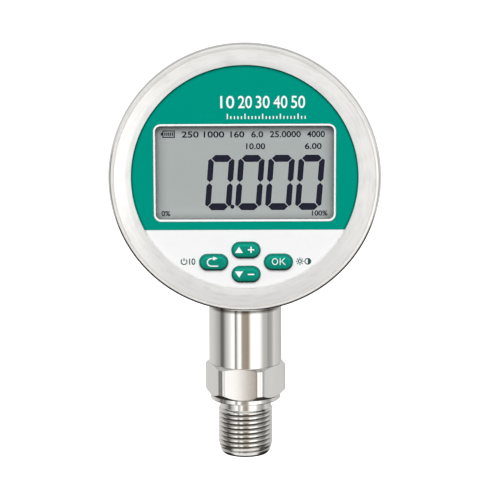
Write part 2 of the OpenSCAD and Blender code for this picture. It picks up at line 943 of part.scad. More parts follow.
module battery_tray() {
    inner_w = tray_w - 2 * tray_wall;
    inner_h = tray_h - 2 * tray_wall;
    color("darkslategray") difference() {
        union() {
            at_height(pad_h) linear_extrude(tray_depth)
                square([tray_w, tray_h], center = true);
            at_height(pad_h) linear_extrude(ear_t)
                square([tray_w + 2 * ear_w, ear_h], center = true);
        }
        at_height(pad_h - over) linear_extrude(tray_depth - tray_floor + over)
            square([inner_w, inner_h], center = true);
        for (x = [-1, 1]) at_height(pad_h - over) translate([x * tray_screw_x, 0])
            cylinder(h = ear_t + 2 * over, d = tray_screw_d + 2 * drop_gap);
    }
}

module tray_screws() {
    color("silver") for (x = [-1, 1]) translate([x * tray_screw_x, 0, 0])
        difference() {
            union() {
                at_height(pad_h + ear_t) cylinder(h = tray_head_h, d = tray_head_d);
                at_height(pad_h + ear_t - tray_screw_len)
                    cylinder(h = tray_screw_len + over, d = tray_screw_d);
            }
            at_height(pad_h + ear_t + tray_head_h - screw_slot_depth)
                linear_extrude(screw_slot_depth + over)
                    square([tray_head_d * screw_slot_share, screw_slot_w],
                        center = true);
        }
}

module battery_cells() {
    color("darkgreen") at_height(cell_h) cell_rows() {
        rotate([0, 90, 0]) translate([0, 0, -cell_space / 2 + nub_len])
            cylinder(h = cell_len, d = cell_d);
        rotate([0, 90, 0]) translate([0, 0, -cell_space / 2])
            cylinder(h = nub_len + over, d = nub_d);
    }
}

module battery_contacts() {
    color("gold") at_height(cell_h) cell_rows() for (x = [-1, 1])
        translate([x * (cell_space + contact_t) / 2, 0])
            cube([contact_t, contact_w, contact_w], center = true);
}

function spring_point(i, total) = let (s = i / total,
    r = spring_base_r + (spring_tip_r - spring_base_r) * s,
    t = 360 * spring_turns * s)
    [r * cos(t), r * sin(t), spring_wire_d / 2 + s * (spring_len - spring_wire_d)];

module battery_springs() {
    total = spring_turns * spring_steps;
    color("silver") at_height(cell_h) cell_rows()
        translate([cell_space / 2, 0]) rotate([0, -90, 0])
            sweep([for (i = [0:total]) spring_point(i, total)],
                spring_wire_d / 2, spring_sides);
}

// A lead that bows sideways between the tray's floor and the board
module lead(side) {
    run = board_back_h - tray_front_h;
    at_height(tray_front_h) translate([lead_place_x * side, lead_place_y])
        sweep([for (i = [0:lead_rings]) let (s = i / lead_rings)
            [side * lead_bow * (1 - cos(360 * s)) / 2, 0, run * s]],
            lead_d / 2, lead_sides);
}

module lead_red() color("red") lead(-1);

module lead_black() color("black") lead(1);

module battery_cover() {
    color("silver") difference() {
        at_height(back_h) linear_extrude(cover_t)
            round_rect(cover_w - 2 * drop_gap, cover_h - 2 * drop_gap,
                cover_corner_r - drop_gap);
        at_height(back_h - over) cover_screw_places()
            cylinder(h = cover_t + 2 * over, d = cover_screw_d + 2 * drop_gap);
        at_height(back_h) cover_screw_places() cylinder(h = cover_t,
            d1 = cover_head_d + 2 * fit_gap, d2 = cover_screw_d + 2 * fit_gap);
    }
}

module cover_gasket() {
    color("black") at_height(back_h + cover_t) linear_extrude(cover_gasket_t)
        difference() {
            round_rect(cover_w - 2 * drop_gap, cover_h - 2 * drop_gap,
                cover_corner_r - drop_gap);
            round_rect(hatch_w, hatch_h, hatch_corner_r);
            cover_screw_places() circle(d = cover_screw_d + 2 * drop_gap);
        }
}

module cover_screws() {
    color("gainsboro") for (x = [-1, 1], y = [-1, 1])
        translate([x * (cover_w / 2 - cover_screw_inset), 0,
            y * (cover_h / 2 - cover_screw_inset)]) difference() {
            at_height(back_h) {
                cylinder(h = cover_t, d1 = cover_head_d, d2 = cover_screw_d);
                cylinder(h = cover_screw_len, d = cover_screw_d);
            }
            at_height(back_h - over) for (a = [0, 90]) rotate([0, 0, a])
                linear_extrude(screw_slot_depth + over)
                    square([cover_head_d * screw_slot_share / 2, screw_slot_w],
                        center = true);
        }
}

case_shell();
bezel_ring();
bezel_gasket();
face_seal();
face_plate();
green_film();
window_frame();
window_lens();
lcd_front_film();
lcd_segments();
lcd_cell();
lcd_reflector();
backlight_panel();
lcd_holder();
zebra_strips();
main_board();
board_chips();
board_capacitors();
board_screws();
switch_housings();
key_up();
key_down();
key_back();
key_ok();
plunger_up();
plunger_down();
plunger_back();
plunger_ok();
sensor_socket();
sensor_plug();
sensor_cable();
process_fitting();
stem_tube();
stem_washer();
stem_nut();
sensor_capsule();
sensor_oring();
sensor_retainer();
battery_tray();
tray_screws();
battery_cells();
battery_contacts();
battery_springs();
lead_red();
lead_black();
battery_cover();
cover_gasket();
cover_screws();
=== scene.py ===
"""Dresses the digital pressure gauge: finishes, prints and finer shapes round its CAD frame."""
import json
import math

import bmesh
import bpy
from bpy.props import FloatProperty, FloatVectorProperty, IntProperty, PointerProperty
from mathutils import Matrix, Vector


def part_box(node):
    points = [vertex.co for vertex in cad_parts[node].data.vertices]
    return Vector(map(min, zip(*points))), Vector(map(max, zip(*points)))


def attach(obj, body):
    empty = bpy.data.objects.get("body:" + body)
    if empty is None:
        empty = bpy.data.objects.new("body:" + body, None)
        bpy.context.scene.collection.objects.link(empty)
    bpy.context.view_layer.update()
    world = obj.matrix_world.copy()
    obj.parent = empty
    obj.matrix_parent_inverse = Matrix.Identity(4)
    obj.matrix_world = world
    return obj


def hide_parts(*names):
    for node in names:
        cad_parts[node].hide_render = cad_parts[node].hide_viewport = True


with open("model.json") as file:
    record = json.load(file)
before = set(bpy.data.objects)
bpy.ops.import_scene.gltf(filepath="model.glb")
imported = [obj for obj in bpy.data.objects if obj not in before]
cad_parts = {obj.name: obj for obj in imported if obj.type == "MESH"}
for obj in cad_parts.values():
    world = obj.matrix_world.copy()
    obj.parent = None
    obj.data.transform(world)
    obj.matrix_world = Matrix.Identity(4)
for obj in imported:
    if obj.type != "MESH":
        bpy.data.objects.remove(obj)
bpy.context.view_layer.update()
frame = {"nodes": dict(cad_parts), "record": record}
NODES = frame["nodes"]

bl_info = {
    "name": "Digital pressure gauge",
    "version": (1, 0, 0),
    "blender": (4, 5, 0),
    "location": "View3D > Sidebar > Gauge",
    "description": "Builds the looks of a digital pressure gauge round its CAD frame",
    "category": "Object",
}

MM = 0.001
TURN = 2 * math.pi
BODY = "gauge"
TICKS_PER_NUMBER = 5

# Places that come from the frame
BEZEL_LOW, BEZEL_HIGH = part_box("bezel_ring")
CASE_RISE = (BEZEL_LOW.z + BEZEL_HIGH.z) / 2
BEZEL_R = (BEZEL_HIGH.x - BEZEL_LOW.x) / 2
BEZEL_FRONT = -BEZEL_LOW.y
BEZEL_BACK = -BEZEL_HIGH.y
FACE_FRONT = -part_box("green_film")[0].y
DISPLAY_FRONT = -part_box("lcd_front_film")[0].y
RIM_LOW, RIM_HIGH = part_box("window_frame")
WINDOW_RISE = (RIM_LOW.z + RIM_HIGH.z) / 2 - CASE_RISE
TUBE_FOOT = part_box("stem_tube")[0].z
CASE_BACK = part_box("battery_cover")[1].y


# Sizes and colours that a user would change

def length(name, description, millimetres):
    return FloatProperty(name=name, description=description, unit="LENGTH",
                         default=millimetres * MM, precision=5)


def colour(name, description, *rgb):
    return FloatVectorProperty(name=name, description=description, subtype="COLOR",
                               size=3, min=0, max=1, default=rgb)


class BezelSizes(bpy.types.PropertyGroup):
    opening_r: length("Opening radius", "Radius of the opening over the face", 42.6)
    bevel_w: length("Bevel width", "Radial width of the bevel round the opening", 2.3)
    bevel_drop: length("Bevel drop", "Depth that the bevel falls", 1.1)
    band_drop: length("Band drop", "Depth that the satin band falls from the rim", 1.4)
    round_r: length("Rim radius", "Radius of the rim's front edge", 2.2)
    rim_land: length("Rim land", "Depth of the rim's upright edge", 0.5)
    rim_w: length("Rim width", "Width that the rim stands out over the skirt", 1.8)
    lip_t: length("Lip thickness", "Thickness of the lip at the opening", 0.8)
    edge_r: length("Edge radius", "Radius of the small edges", 0.35)


class FaceSizes(bpy.types.PropertyGroup):
    window_w: length("Window width", "Width of the window's rim", 68.4)
    window_h: length("Window height", "Height of the window's rim", 37.2)
    rim_w: length("Rim width", "Visible width of the window's rim", 0.75)
    window_corner_r: length("Corner radius", "Radius of the rim's corners", 2.8)
    print_t: length("Print thickness", "Thickness of printed ink", 0.02)
    title_x: length("Title place", "Middle of the title's first number", -6.4)
    title_y: length("Title height", "Middle of the title's numbers above the centre", 28.5)
    title_step: length("Title step", "Distance between the title's numbers", 6.6)
    title_w: length("Title width", "Width of one number of the title", 5.2)
    title_h: length("Title size", "Height of the title's digits", 4.7)
    tick_h: length("Tick height", "Height of the long marks under the title", 2.0)
    tick_w: length("Tick width", "Width of a mark under the title", 0.42)
    tick_y: length("Tick place", "Foot of the marks above the centre", 22.1)
    ticks: IntProperty(name="Ticks", description="Marks in the row under the title",
                       default=23, min=2, max=80)


class DisplaySizes(bpy.types.PropertyGroup):
    digit_w: length("Digit width", "Distance between a digit's upright strokes", 7.74)
    digit_half_h: length("Digit half height", "From a digit's middle to its top", 9.24)
    digit_step: length("Digit step", "Distance between neighbouring digits", 11.3)
    first_digit_x: length("First digit", "Middle of the first digit", -9.35)
    digit_y: length("Digit place", "Middle of the digits above the case's centre", -2.6)
    level_w: length("Level stroke", "Width of a level stroke", 2.66)
    upright_w: length("Upright stroke", "Width of an upright stroke", 2.15)
    stroke_gap: length("Stroke gap", "Gap between neighbouring strokes", 0.3)
    point_d: length("Point diameter", "Diameter of the decimal point", 1.6)
    halo_w: length("Halo", "Width of the pale halo round a stroke", 0.3)


class KeySizes(bpy.types.PropertyGroup):
    width: length("Key width", "Width of a key", 11)
    height: length("Key height", "Height of a key", 6.4)
    edge_r: length("Edge radius", "Radius of a key's front edge", 0.95)
    crown: length("Crown", "Height that a key's middle stands over its edge", 0.1)
    flange_w: length("Flange width", "Width of the flange behind the face", 0.8)
    flange_t: length("Flange thickness", "Thickness of that flange", 1.0)


class StemSizes(bpy.types.PropertyGroup):
    thread_r: length("Thread radius", "Outside radius of the pipe thread", 10.4775)
    pitch: length("Pitch", "Pitch of the thread", 1.814)
    depth: length("Thread depth", "Depth of the thread", 1.162)
    thread_len: length("Thread length", "Height of the thread's run-out", 17.9)
    neck_r: length("Neck radius", "Radius of the neck above the thread", 9.8)
    collar_z: length("Collar place", "Height of the collar's foot", 21.9)
    hex_z: length("Hexagon place", "Height of the hexagon's foot", 23.6)
    hex_af: length("Across flats", "Width of the hexagon across its flats", 28)
    hex_corner_r: length("Corner radius", "Radius of the turned corners", 15.5)
    collar_r: length("Collar radius", "Radius of the collar under the hexagon", 13.5)
    end_r: length("End radius", "Radius of the thread's end face", 8.7)
    passage_r: length("Passage radius", "Radius of the pressure passage", 1.75)
    passage_depth: length("Passage depth", "Depth that is made of that passage", 12)
    taper_r: length("Taper radius", "Radius at which the tapered first turns begin", 9.25)
    first_turn: length("First turn", "Height at which the grooves begin", 1.3)
    hex_turn: FloatProperty(name="Turn", description="Turn of the hexagon on the stem",
                            subtype="ANGLE", default=math.radians(-8))


class GaugeColours(bpy.types.PropertyGroup):
    film: colour("Film", "Colour of the printed film", 0.0, 0.287, 0.212)
    key: colour("Key", "Colour of the keys", 0.002, 0.252, 0.18)
    plate: colour("Plate", "Colour of the face plate", 0.9, 0.9, 0.9)
    ink: colour("Ink", "White printing ink", 0.93, 0.95, 0.94)
    dark_ink: colour("Dark ink", "Dark printing ink", 0.03, 0.09, 0.09)
    steel: colour("Steel", "Colour of the bright steel", 0.86, 0.85, 0.83)
    satin: colour("Satin steel", "Colour of the blasted steel", 0.97, 0.965, 0.955)
    display: colour("Display", "Colour of the resting display", 0.422, 0.456, 0.446)
    stroke: colour("Stroke", "Colour of the dark strokes", 0.017, 0.017, 0.032)


class StageSettings(bpy.types.PropertyGroup):
    distance: FloatProperty(name="Camera distance", unit="LENGTH", default=1.05,
                            description="From the camera to the middle of the face")
    elevation: FloatProperty(name="Elevation", subtype="ANGLE", default=math.radians(10.8),
                             description="Height of the camera over the face's middle")
    aside: length("Sideways", "Distance of the camera to the right of the middle", 0.43)
    pitch: FloatProperty(name="Pitch", subtype="ANGLE", default=math.radians(12.166),
                         description="How far the camera looks down")
    roll: FloatProperty(name="Roll", subtype="ANGLE", default=math.radians(0.2),
                        description="Turn of the picture about its middle")
    lens: FloatProperty(name="Lens", default=206.6,
                        description="Focal length in millimetres on a 36 mm sensor")
    room: FloatProperty(name="Room light", default=0.38,
                        description="Brightness of the even light round the gauge")
    softbox: FloatProperty(name="Softbox", subtype="POWER", default=20.0,
                           description="Power of the soft light above the camera")


SIZES = {"bezel": BezelSizes, "face": FaceSizes, "display": DisplaySizes,
         "key": KeySizes, "stem": StemSizes, "colours": GaugeColours,
         "stage": StageSettings}


def sizes(name):
    return getattr(bpy.context.scene, "gauge_" + name)


# Node trees

class Wire:
    """An output socket whose arithmetic adds Math nodes to its tree."""

    def __init__(self, sheet, socket):
        self.sheet, self.socket = sheet, socket

    def __getitem__(self, name):
        return Wire(self.sheet, self.socket.node.outputs[name])

    def math(self, operation, *others):
        return self.sheet.add("ShaderNodeMath", {"operation": operation},
                              dict(enumerate((self, *others))))

    def __add__(self, other):
        return self.math("ADD", other)

    def __sub__(self, other):
        return self.math("SUBTRACT", other)

    def __rsub__(self, other):
        return self.math("MULTIPLY", -1) + other

    def __mul__(self, other):
        return self.math("MULTIPLY", other)

    def __truediv__(self, other):
        return self.math("DIVIDE", other)

    def __pow__(self, other):
        return self.math("POWER", other)

    __radd__ = __add__
    __rmul__ = __mul__

    def limit(self, low=0.0, high=1.0):
        return self.math("MAXIMUM", low).math("MINIMUM", high)

    def step(self, low, high):
        """0 below low, 1 above high, and a straight ramp between them."""
        return ((self - low) / (high - low)).limit()


class Sheet:
    """A node tree and the one way in which nodes are added to it."""

    def __init__(self, tree):
        self.tree = tree

    def add(self, kind, settings=None, values=None):
        node = self.tree.nodes.new(kind)
        for key, value in (settings or {}).items():
            if key == "stops":
                self.set_stops(node.color_ramp.elements, value)
            else:
                setattr(node, key, value)
        for key, value in (values or {}).items():
            if isinstance(value, Wire):
                self.tree.links.new(value.socket, node.inputs[key])
            else:
                node.inputs[key].default_value = value
        return Wire(self, next((s for s in node.outputs if s.enabled), None))

    @staticmethod
    def set_stops(elements, stops):
        while len(elements) < len(stops):
            elements.new(1)
        for element, (place, shade) in zip(elements, stops):
            element.position = place
            element.color = (*shade, 1) if isinstance(shade, tuple) else (shade,) * 3 + (1,)

    def mix(self, factor, a, b):
        """Two colours mixed by a factor."""
        return self.add("ShaderNodeMix", {"data_type": "RGBA"},
                        {0: factor, 6: rgba(a), 7: rgba(b)})

    def vector(self, x, y, z):
        return self.add("ShaderNodeCombineXYZ", None, {0: x, 1: y, 2: z})

    def parts(self, vector):
        wire = self.add("ShaderNodeSeparateXYZ", None, {0: vector})
        return wire["X"], wire["Y"], wire["Z"]


def rgba(value):
    return value if isinstance(value, Wire) else (*value, 1)


class Finish(Sheet):
    """A material with one Principled shader, read from object coordinates."""

    def __init__(self, name, base, **constants):
        self.material = bpy.data.materials.new(name)
        self.material.use_nodes = True
        super().__init__(self.material.node_tree)
        self.shader = self.tree.nodes["Principled BSDF"]
        self.place = self.add("ShaderNodeTexCoord")["Object"]
        self.base = tuple(base)
        self.shader.inputs["Base Color"].default_value = rgba(self.base)
        for key, value in constants.items():
            self.shader.inputs[key.replace("_", " ").title().replace("Ior", "IOR")
                               ].default_value = value

    def feed(self, **wires):
        for key, wire in wires.items():
            self.tree.links.new(wire.socket,
                                self.shader.inputs[key.replace("_", " ").title()])
        return self

    def parts(self, vector=None):
        return super().parts(vector or self.place)

    def noise(self, scale, vector=None, detail=2.0):
        return self.add("ShaderNodeTexNoise", None,
                        {"Vector": vector or self.place, "Scale": scale, "Detail": detail})

    def tone(self, mask, amount, colour_to=None):
        """Feeds the base colour, darkened or mixed to another colour by a mask."""
        to = colour_to or tuple(c * (1 - amount) for c in self.base)
        return self.feed(base_color=self.mix(mask.limit(), self.base, to))

    def bump(self, height, depth, strength=1.0):
        wire = self.add("ShaderNodeBump", None,
                        {"Height": height, "Distance": depth, "Strength": strength})
        return self.feed(normal=wire)


# Finishes

def about_case(finish):
    """Polar parts about the case's axis: radius, cosine and sine."""
    x, _, z = finish.parts()
    rise = z - CASE_RISE
    radius = (x * x + rise * rise).math("SQRT")
    safe = radius.math("MAXIMUM", 1e-5)
    return radius, x / safe, rise / safe


def blasted_steel():
    """Fine blasted steel, streaked round the ring and cloudy, with a polished outer edge."""
    f = Finish("bezel_blasted_steel", sizes("colours").satin, metallic=1.0)
    radius, cosine, sine = about_case(f)
    rings = f.noise(1.0, f.vector(radius * 7000, cosine * 9, sine * 9), 3)
    streaks = f.noise(1.0, f.vector(radius * 1100, cosine * 7, sine * 7), 3)
    grain = f.noise(4200, detail=3)
    clouds = f.noise(130, detail=4)
    dull_until, bright_from = -1.1 * MM, -0.6 * MM
    edge = (radius - BEZEL_R).step(dull_until, bright_from)
    f.tone((clouds - 0.45) * 1.6 + (streaks - 0.48) * 1.8, 0.15)
    f.feed(roughness=(0.28 + clouds * 0.14 + (grain - 0.5) * 0.12) * (1 - edge * 0.7))
    return f.bump(rings * 0.35 + grain * 0.65, 0.012 * MM, 0.45)


def turned(name, base, rough, ring):
    """Bright turned steel with its rings round the stem and its faint stains."""
    f = Finish(name, base, metallic=1.0)
    x, y, z = f.parts()
    rings = f.noise(1.0, f.vector(x * 60, y * 60, z * ring), 3)
    stains = f.noise(140, f.vector(x, y, z * 0.35), 4)
    f.feed(roughness=rough + (rings - 0.5) * 0.08 + (stains - 0.5) * 0.06)
    return f, rings, stains


def ringed(f, rings):
    return f.bump(rings, 0.004 * MM, 0.3)


def sensor_steel():
    f, rings, stains = turned("sensor_turned_steel", (0.7, 0.7, 0.69), 0.25, 9000)
    f.tone((stains - 0.5) * 2, 0.05)
    return ringed(f, rings)


def tube_steel():
    """The stem's tube, with a painted shadow of the bezel on its front where it runs up under
    the bezel.
    """
    f, rings, _ = turned("tube_turned_steel", sizes("colours").steel, 0.1, 6000)
    _, y, z = f.parts()
    lit_until, dark_from = -3.7 * MM, -2.7 * MM
    beside, in_front = 2 * MM, 9 * MM
    # Painted shadow of the bezel: the tube's front turns dark brown just under the bezel's foot
    shade = (z - (CASE_RISE - BEZEL_R)).step(lit_until, dark_from)
    front = (y * -1).step(beside, in_front)
    f.feed(base_color=f.mix(shade * front * 0.85, f.base, (0.1, 0.08, 0.06)))
    return ringed(f, rings)


def thread_steel():
    """The cut thread: bright crests over roots darkened with painted shade."""
    f, rings, _ = turned("thread_cut_steel", sizes("colours").steel, 0.16, 8000)
    stem = sizes("stem")
    x, y, z = f.parts()
    over_root = (x * x + y * y).math("SQRT") - (stem.thread_r - stem.depth)
    root_shade_depth, unshaded_foot, full_shade_from = 0.1 * MM, 1.5 * MM, 3 * MM
    crest = over_root.step(root_shade_depth, 0.5 * stem.depth)
    past_thread = (z - stem.thread_len).step(-0.4 * MM, 0)
    # Painted shade in the roots, fading in from the end face and gone past the run-out
    root = (1 - crest) * (1 - past_thread) * z.step(unshaded_foot, full_shade_from)
    f.feed(base_color=f.mix(root * 0.9, f.base, (0.12, 0.095, 0.07)))
    return ringed(f, rings)


def milled_steel():
    """The hexagon: level milling marks, and flats that catch the light from one side."""
    f, _, stains = turned("hexagon_milled_steel", sizes("colours").steel, 0.15, 14000)
    f.tone((stains - 0.5) * 2, 0.04)
    x, y, z = f.parts()
    sector = math.radians(60)
    angle = y.math("ARCTAN2", x) - (sizes("stem").hex_turn - TURN / 4 - sector / 2)
    local = angle.math("FLOORED_MODULO", sector) - sector / 2
    across = (x * x + y * y).math("SQRT") * local.math("SINE")
    marks = f.noise(1.0, f.vector(x * 70, y * 70, z * 16000), 3)
    bow, tilt = -3.4, -0.02
    crown = across * across * bow + across * tilt
    return f.bump(crown + marks * (0.004 * MM), 1.0, 1.0)


def brushed_case():
    """Case body and cover: brushed round the sides and level across the back."""
    f = Finish("case_brushed_steel", sizes("colours").satin, metallic=1.0)
    _, cosine, sine = about_case(f)
    x, y, z = f.parts()
    side = f.noise(1.0, f.vector(y * 6500, cosine * 12, sine * 12), 3)
    back = f.noise(1.0, f.vector(x * 40, y * 40, z * 6500), 3)
    side_until, back_from = -1.2 * MM, -0.7 * MM
    on_back = (y - CASE_BACK).step(side_until, back_from)
    marks = side * (1 - on_back) + back * on_back
    clouds = f.noise(60, detail=3)
    f.tone((marks - 0.45) * 1.2 + (clouds - 0.5), 0.1)
    f.feed(roughness=0.26 + (marks - 0.5) * 0.2 + clouds * 0.08)
    return f.bump(marks, 0.01 * MM, 0.4)


def plated_steel(name, base, rough):
    f = Finish(name, base, metallic=1.0)
    spots = f.noise(900, detail=4)
    f.tone((spots - 0.5) * 1.6, 0.15)
    f.feed(roughness=rough + (spots - 0.5) * 0.14)
    return f.bump(f.noise(5200), 0.004 * MM, 0.3)


def moulded(name, base, rough=0.45, grain=2600.0, depth=0.006, **constants):
    """Moulded plastic or rubber with a fine grain and a little dust in the colour."""
    f = Finish(name, base, **constants)
    cells = f.add("ShaderNodeTexVoronoi", None, {"Vector": f.place, "Scale": grain})
    dust = f.noise(320, detail=4)
    f.tone((dust - 0.5) * 1.4, 0.06)
    f.feed(roughness=rough + (dust - 0.5) * 0.12)
    return f.bump(cells * 0.6 + f.noise(grain * 2.5) * 0.4, depth * MM, 0.35)


def key_plastic(name, x0, z0):
    """A key's plastic, with a painted highlight inside its upper edge and painted shade round
    its lower one.
    """
    key = sizes("key")
    f = Finish("key_plastic_" + name, sizes("colours").key, specular_ior_level=0.1)
    x, _, z = f.parts()
    half = key.height / 2
    beside = ((x - x0).math("ABSOLUTE") - (key.width / 2 - half)).math("MAXIMUM", 0)
    rise = z - z0
    reach = (beside * beside + rise * rise).math("SQRT") - half
    edge = reach.step(-1.3 * key.edge_r, -0.5 * key.edge_r)
    under = (rise * -1).step(0, half)
    ring = reach.step(-1.9 * key.edge_r, -1.3 * key.edge_r) * (1 - edge)
    # Painted highlight along the inside of the upper edge
    lit = ring * rise.step(-0.5 * half, 0.8 * half)
    clouds = f.noise(320, detail=3)
    # Painted shade round the lower edge and over the lower half, with a faint random mottle
    shade = edge * (under * 0.65 + 0.3) + under * under * 0.35 + (clouds - 0.5) * 0.1
    dark, pale = (tuple(c * gain for c in f.base) for gain in (0.12, 1.9))
    f.feed(base_color=f.mix(lit * 0.6, f.mix(shade.limit(), f.base, dark), pale),
           roughness=0.25 + (clouds - 0.5) * 0.08)
    return f.bump(f.noise(5000), 0.002 * MM, 0.2)


def printed_film():
    """The green film: even ink with a fine screen, and a painted shadow of the bezel's lip
    round its edge, darker at the top.
    """
    f = Finish("green_printed_film", sizes("colours").film, specular_ior_level=0.0)
    screen = f.noise(6500, detail=1)
    clouds = f.noise(45, detail=3)
    radius, _, sine = about_case(f)
    lit_until, dark_from = -0.75 * MM, -0.4 * MM
    # Painted shadow of the bezel's lip on the film's edge, darker towards the top
    gap = (radius - sizes("bezel").opening_r).step(lit_until, dark_from)
    f.tone((clouds - 0.5) * 0.08 + gap * (sine * 0.2 + 0.45), 0.9)
    f.feed(roughness=0.42 + (screen - 0.5) * 0.1)
    return f.bump(screen, 0.003 * MM, 0.25)


def display_film():
    """The resting display: grey-green, with painted shade falling in from the rim round its
    edges.
    """
    f = Finish("display_grey_film", sizes("colours").display, specular_ior_level=0.1)
    x, _, z = f.parts()
    face = sizes("face")
    half_w, half_h = face.window_w / 2 - face.rim_w, face.window_h / 2 - face.rim_w
    middle = CASE_RISE + WINDOW_RISE

    side_reach, top_reach, foot_reach = 5.2 * MM, 4.2 * MM, 3.0 * MM

    def fall(distance, reach, power):
        """1 at the rim and 0 at the reach from it."""
        return (1 - distance.step(-0.3 * MM, reach)) ** power

    # Painted shade in from the window's rim, weaker along the foot
    shade = (fall(half_w - x.math("ABSOLUTE"), side_reach, 1.6)
             + fall((middle + half_h) - z, top_reach, 1.6)
             + fall(z - (middle - half_h), foot_reach, 1.8) * 0.6)
    grain = f.noise(1500, detail=2)
    dots = f.noise(9000, detail=1)
    dark = tuple(c * 0.6 for c in f.base)
    f.tone(shade.limit() + (grain - 0.5) * 0.05 + (dots - 0.5) * 0.04, 0, dark)
    f.feed(roughness=0.5 + (dots - 0.5) * 0.1)
    return f.bump(dots, 0.002 * MM, 0.2)


def clear_lens():
    """Clear acrylic that lets the display show, with gloss by the angle of view."""
    f = Finish("clear_lens", (0.03, 0.04, 0.04), ior=1.45, specular_ior_level=0.3)
    smears = f.noise(120, detail=3)
    f.feed(roughness=0.06 + smears * 0.06,
           alpha=(f.add("ShaderNodeFresnel", None, {"IOR": 1.2}) * 0.6 + 0.004).limit())
    return f.bump(smears, 0.002 * MM, 0.1)


def clear_glass():
    f = Finish("display_glass", (0.8, 0.85, 0.83), specular_ior_level=0.4)
    smears = f.noise(200, detail=3)
    f.feed(roughness=0.08 + smears * 0.05, alpha=0.3 + smears * 0.1)
    return f.bump(smears, 0.002 * MM, 0.1)


def circuit_board():
    """Green solder mask over faint copper tracks."""
    f = Finish("board_solder_mask", (0.01, 0.17, 0.07))
    x, _, z = f.parts()
    tracks = f.add("ShaderNodeTexBrick", {"offset": 0.5},
                   {"Vector": f.vector(x, z, 0), "Scale": 240.0,
                    "Mortar Size": 0.06, "Color1": (0, 0, 0, 1), "Color2": (0, 0, 0, 1),
                    "Mortar": (1, 1, 1, 1)})["Color"]
    f.feed(base_color=f.mix(tracks, f.base, (0.04, 0.27, 0.1)),
           roughness=0.3 + f.noise(800) * 0.15)
    return f.bump(tracks, 0.02 * MM, 0.4)


def cell_sleeve():
    """The cells' plastic sleeve: blue with a brass-coloured band at the plus end."""
    f = Finish("cell_sleeve", (0.02, 0.09, 0.32))
    brass_until, blue_from = -16 * MM, -15.7 * MM
    plus_end = 1 - f.parts()[0].step(brass_until, blue_from)
    f.feed(base_color=f.mix(plus_end, f.base, (0.62, 0.42, 0.16)),
           roughness=0.3 + f.noise(500) * 0.15)
    return f.bump(f.noise(1500), 0.004 * MM, 0.3)


def make_finishes():
    """One finish for each of the record's material slots, by its name."""
    plate = tuple(sizes("colours").plate)
    return {
        "case_steel": brushed_case(),
        "bezel_steel": blasted_steel(),
        "stem_steel": tube_steel(),
        "fitting_steel": thread_steel(),
        "fastener_steel": plated_steel("zinc_plate", (0.62, 0.64, 0.66), 0.32),
        "screw_steel": plated_steel("bright_screw_steel", (0.75, 0.75, 0.75), 0.24),
        "sensor_steel": sensor_steel(),
        "spring_steel": plated_steel("nickel_plate", (0.72, 0.7, 0.66), 0.2),
        "contact_brass": plated_steel("contact_brass", (0.78, 0.6, 0.28), 0.26),
        "face_white": moulded("face_white_plastic", plate, 0.4, 3000, 0.003,
                              specular_ior_level=0.2),
        "film_green": printed_film(),
        "key_green": moulded("key_green_plastic", sizes("colours").key, 0.35, 3600, 0.003,
                             specular_ior_level=0.1),
        "frame_white": moulded("rim_white_plastic", (0.95, 0.95, 0.95), 0.3, 3000, 0.002),
        "lens_clear": clear_lens(),
        "lcd_grey": display_film(),
        "lcd_dark": moulded("display_stroke", sizes("colours").stroke, 0.6, 5000, 0.001,
                            specular_ior_level=0.05),
        "cell_glass": clear_glass(),
        "reflector_white": moulded("reflector_film", (0.8, 0.8, 0.79), 0.5),
        "light_white": moulded("light_panel", (0.9, 0.9, 0.88), 0.35),
        "holder_black": moulded("holder_plastic", (0.04, 0.04, 0.045), 0.55),
        "strip_grey": moulded("contact_strip_rubber", (0.22, 0.22, 0.23), 0.7, 1800),
        "seal_black": moulded("seal_rubber", (0.02, 0.02, 0.02), 0.65, 1800, 0.01),
        "board_green": circuit_board(),
        "chip_black": moulded("chip_resin", (0.025, 0.025, 0.027), 0.5, 2200),
        "capacitor_metal": plated_steel("capacitor_can", (0.75, 0.75, 0.76), 0.28),
        "switch_black": moulded("switch_plastic", (0.04, 0.04, 0.04), 0.5),
        "plunger_white": moulded("plunger_plastic", (0.82, 0.8, 0.74), 0.4),
        "plug_ivory": moulded("plug_nylon", (0.78, 0.72, 0.55), 0.45),
        "cable_grey": moulded("cable_jacket", (0.25, 0.25, 0.26), 0.5, 1400),
        "tray_black": moulded("tray_plastic", (0.03, 0.03, 0.035), 0.55, 1600, 0.01),
        "cell_wrap": cell_sleeve(),
        "wire_red": moulded("red_wire_jacket", (0.5, 0.02, 0.015), 0.4, 1400),
        "wire_black": moulded("black_wire_jacket", (0.025, 0.025, 0.025), 0.4, 1400),
    }


def ink(name, base):
    return moulded(name, base, 0.45, 5200, 0.001, specular_ior_level=0.1)


FINISHES = {}


# Mesh helpers

def on_face(x, y, height):
    """A face drawing's point, with its height towards the viewer, in the row frame."""
    return Vector((x, -height, CASE_RISE + y))


def put(name, data):
    """A new object that holds some data, linked to the scene."""
    made = bpy.data.objects.new(name, data)
    bpy.context.scene.collection.objects.link(made)
    return made


def evaluated(carrier):
    """The plain mesh that a carrier's text or nodes come to; the carrier goes."""
    bpy.context.view_layer.update()
    mesh = bpy.data.meshes.new_from_object(
        carrier.evaluated_get(bpy.context.evaluated_depsgraph_get()))
    bpy.data.objects.remove(carrier)
    return mesh


def make_mesh(name, points, faces, smooth_deg=35):
    """A clean mesh object with outward faces, smooth but for its sharp edges."""
    mesh = bpy.data.meshes.new(name)
    mesh.from_pydata([tuple(p) for p in points], [], faces)
    return clean(name, mesh, smooth_deg)


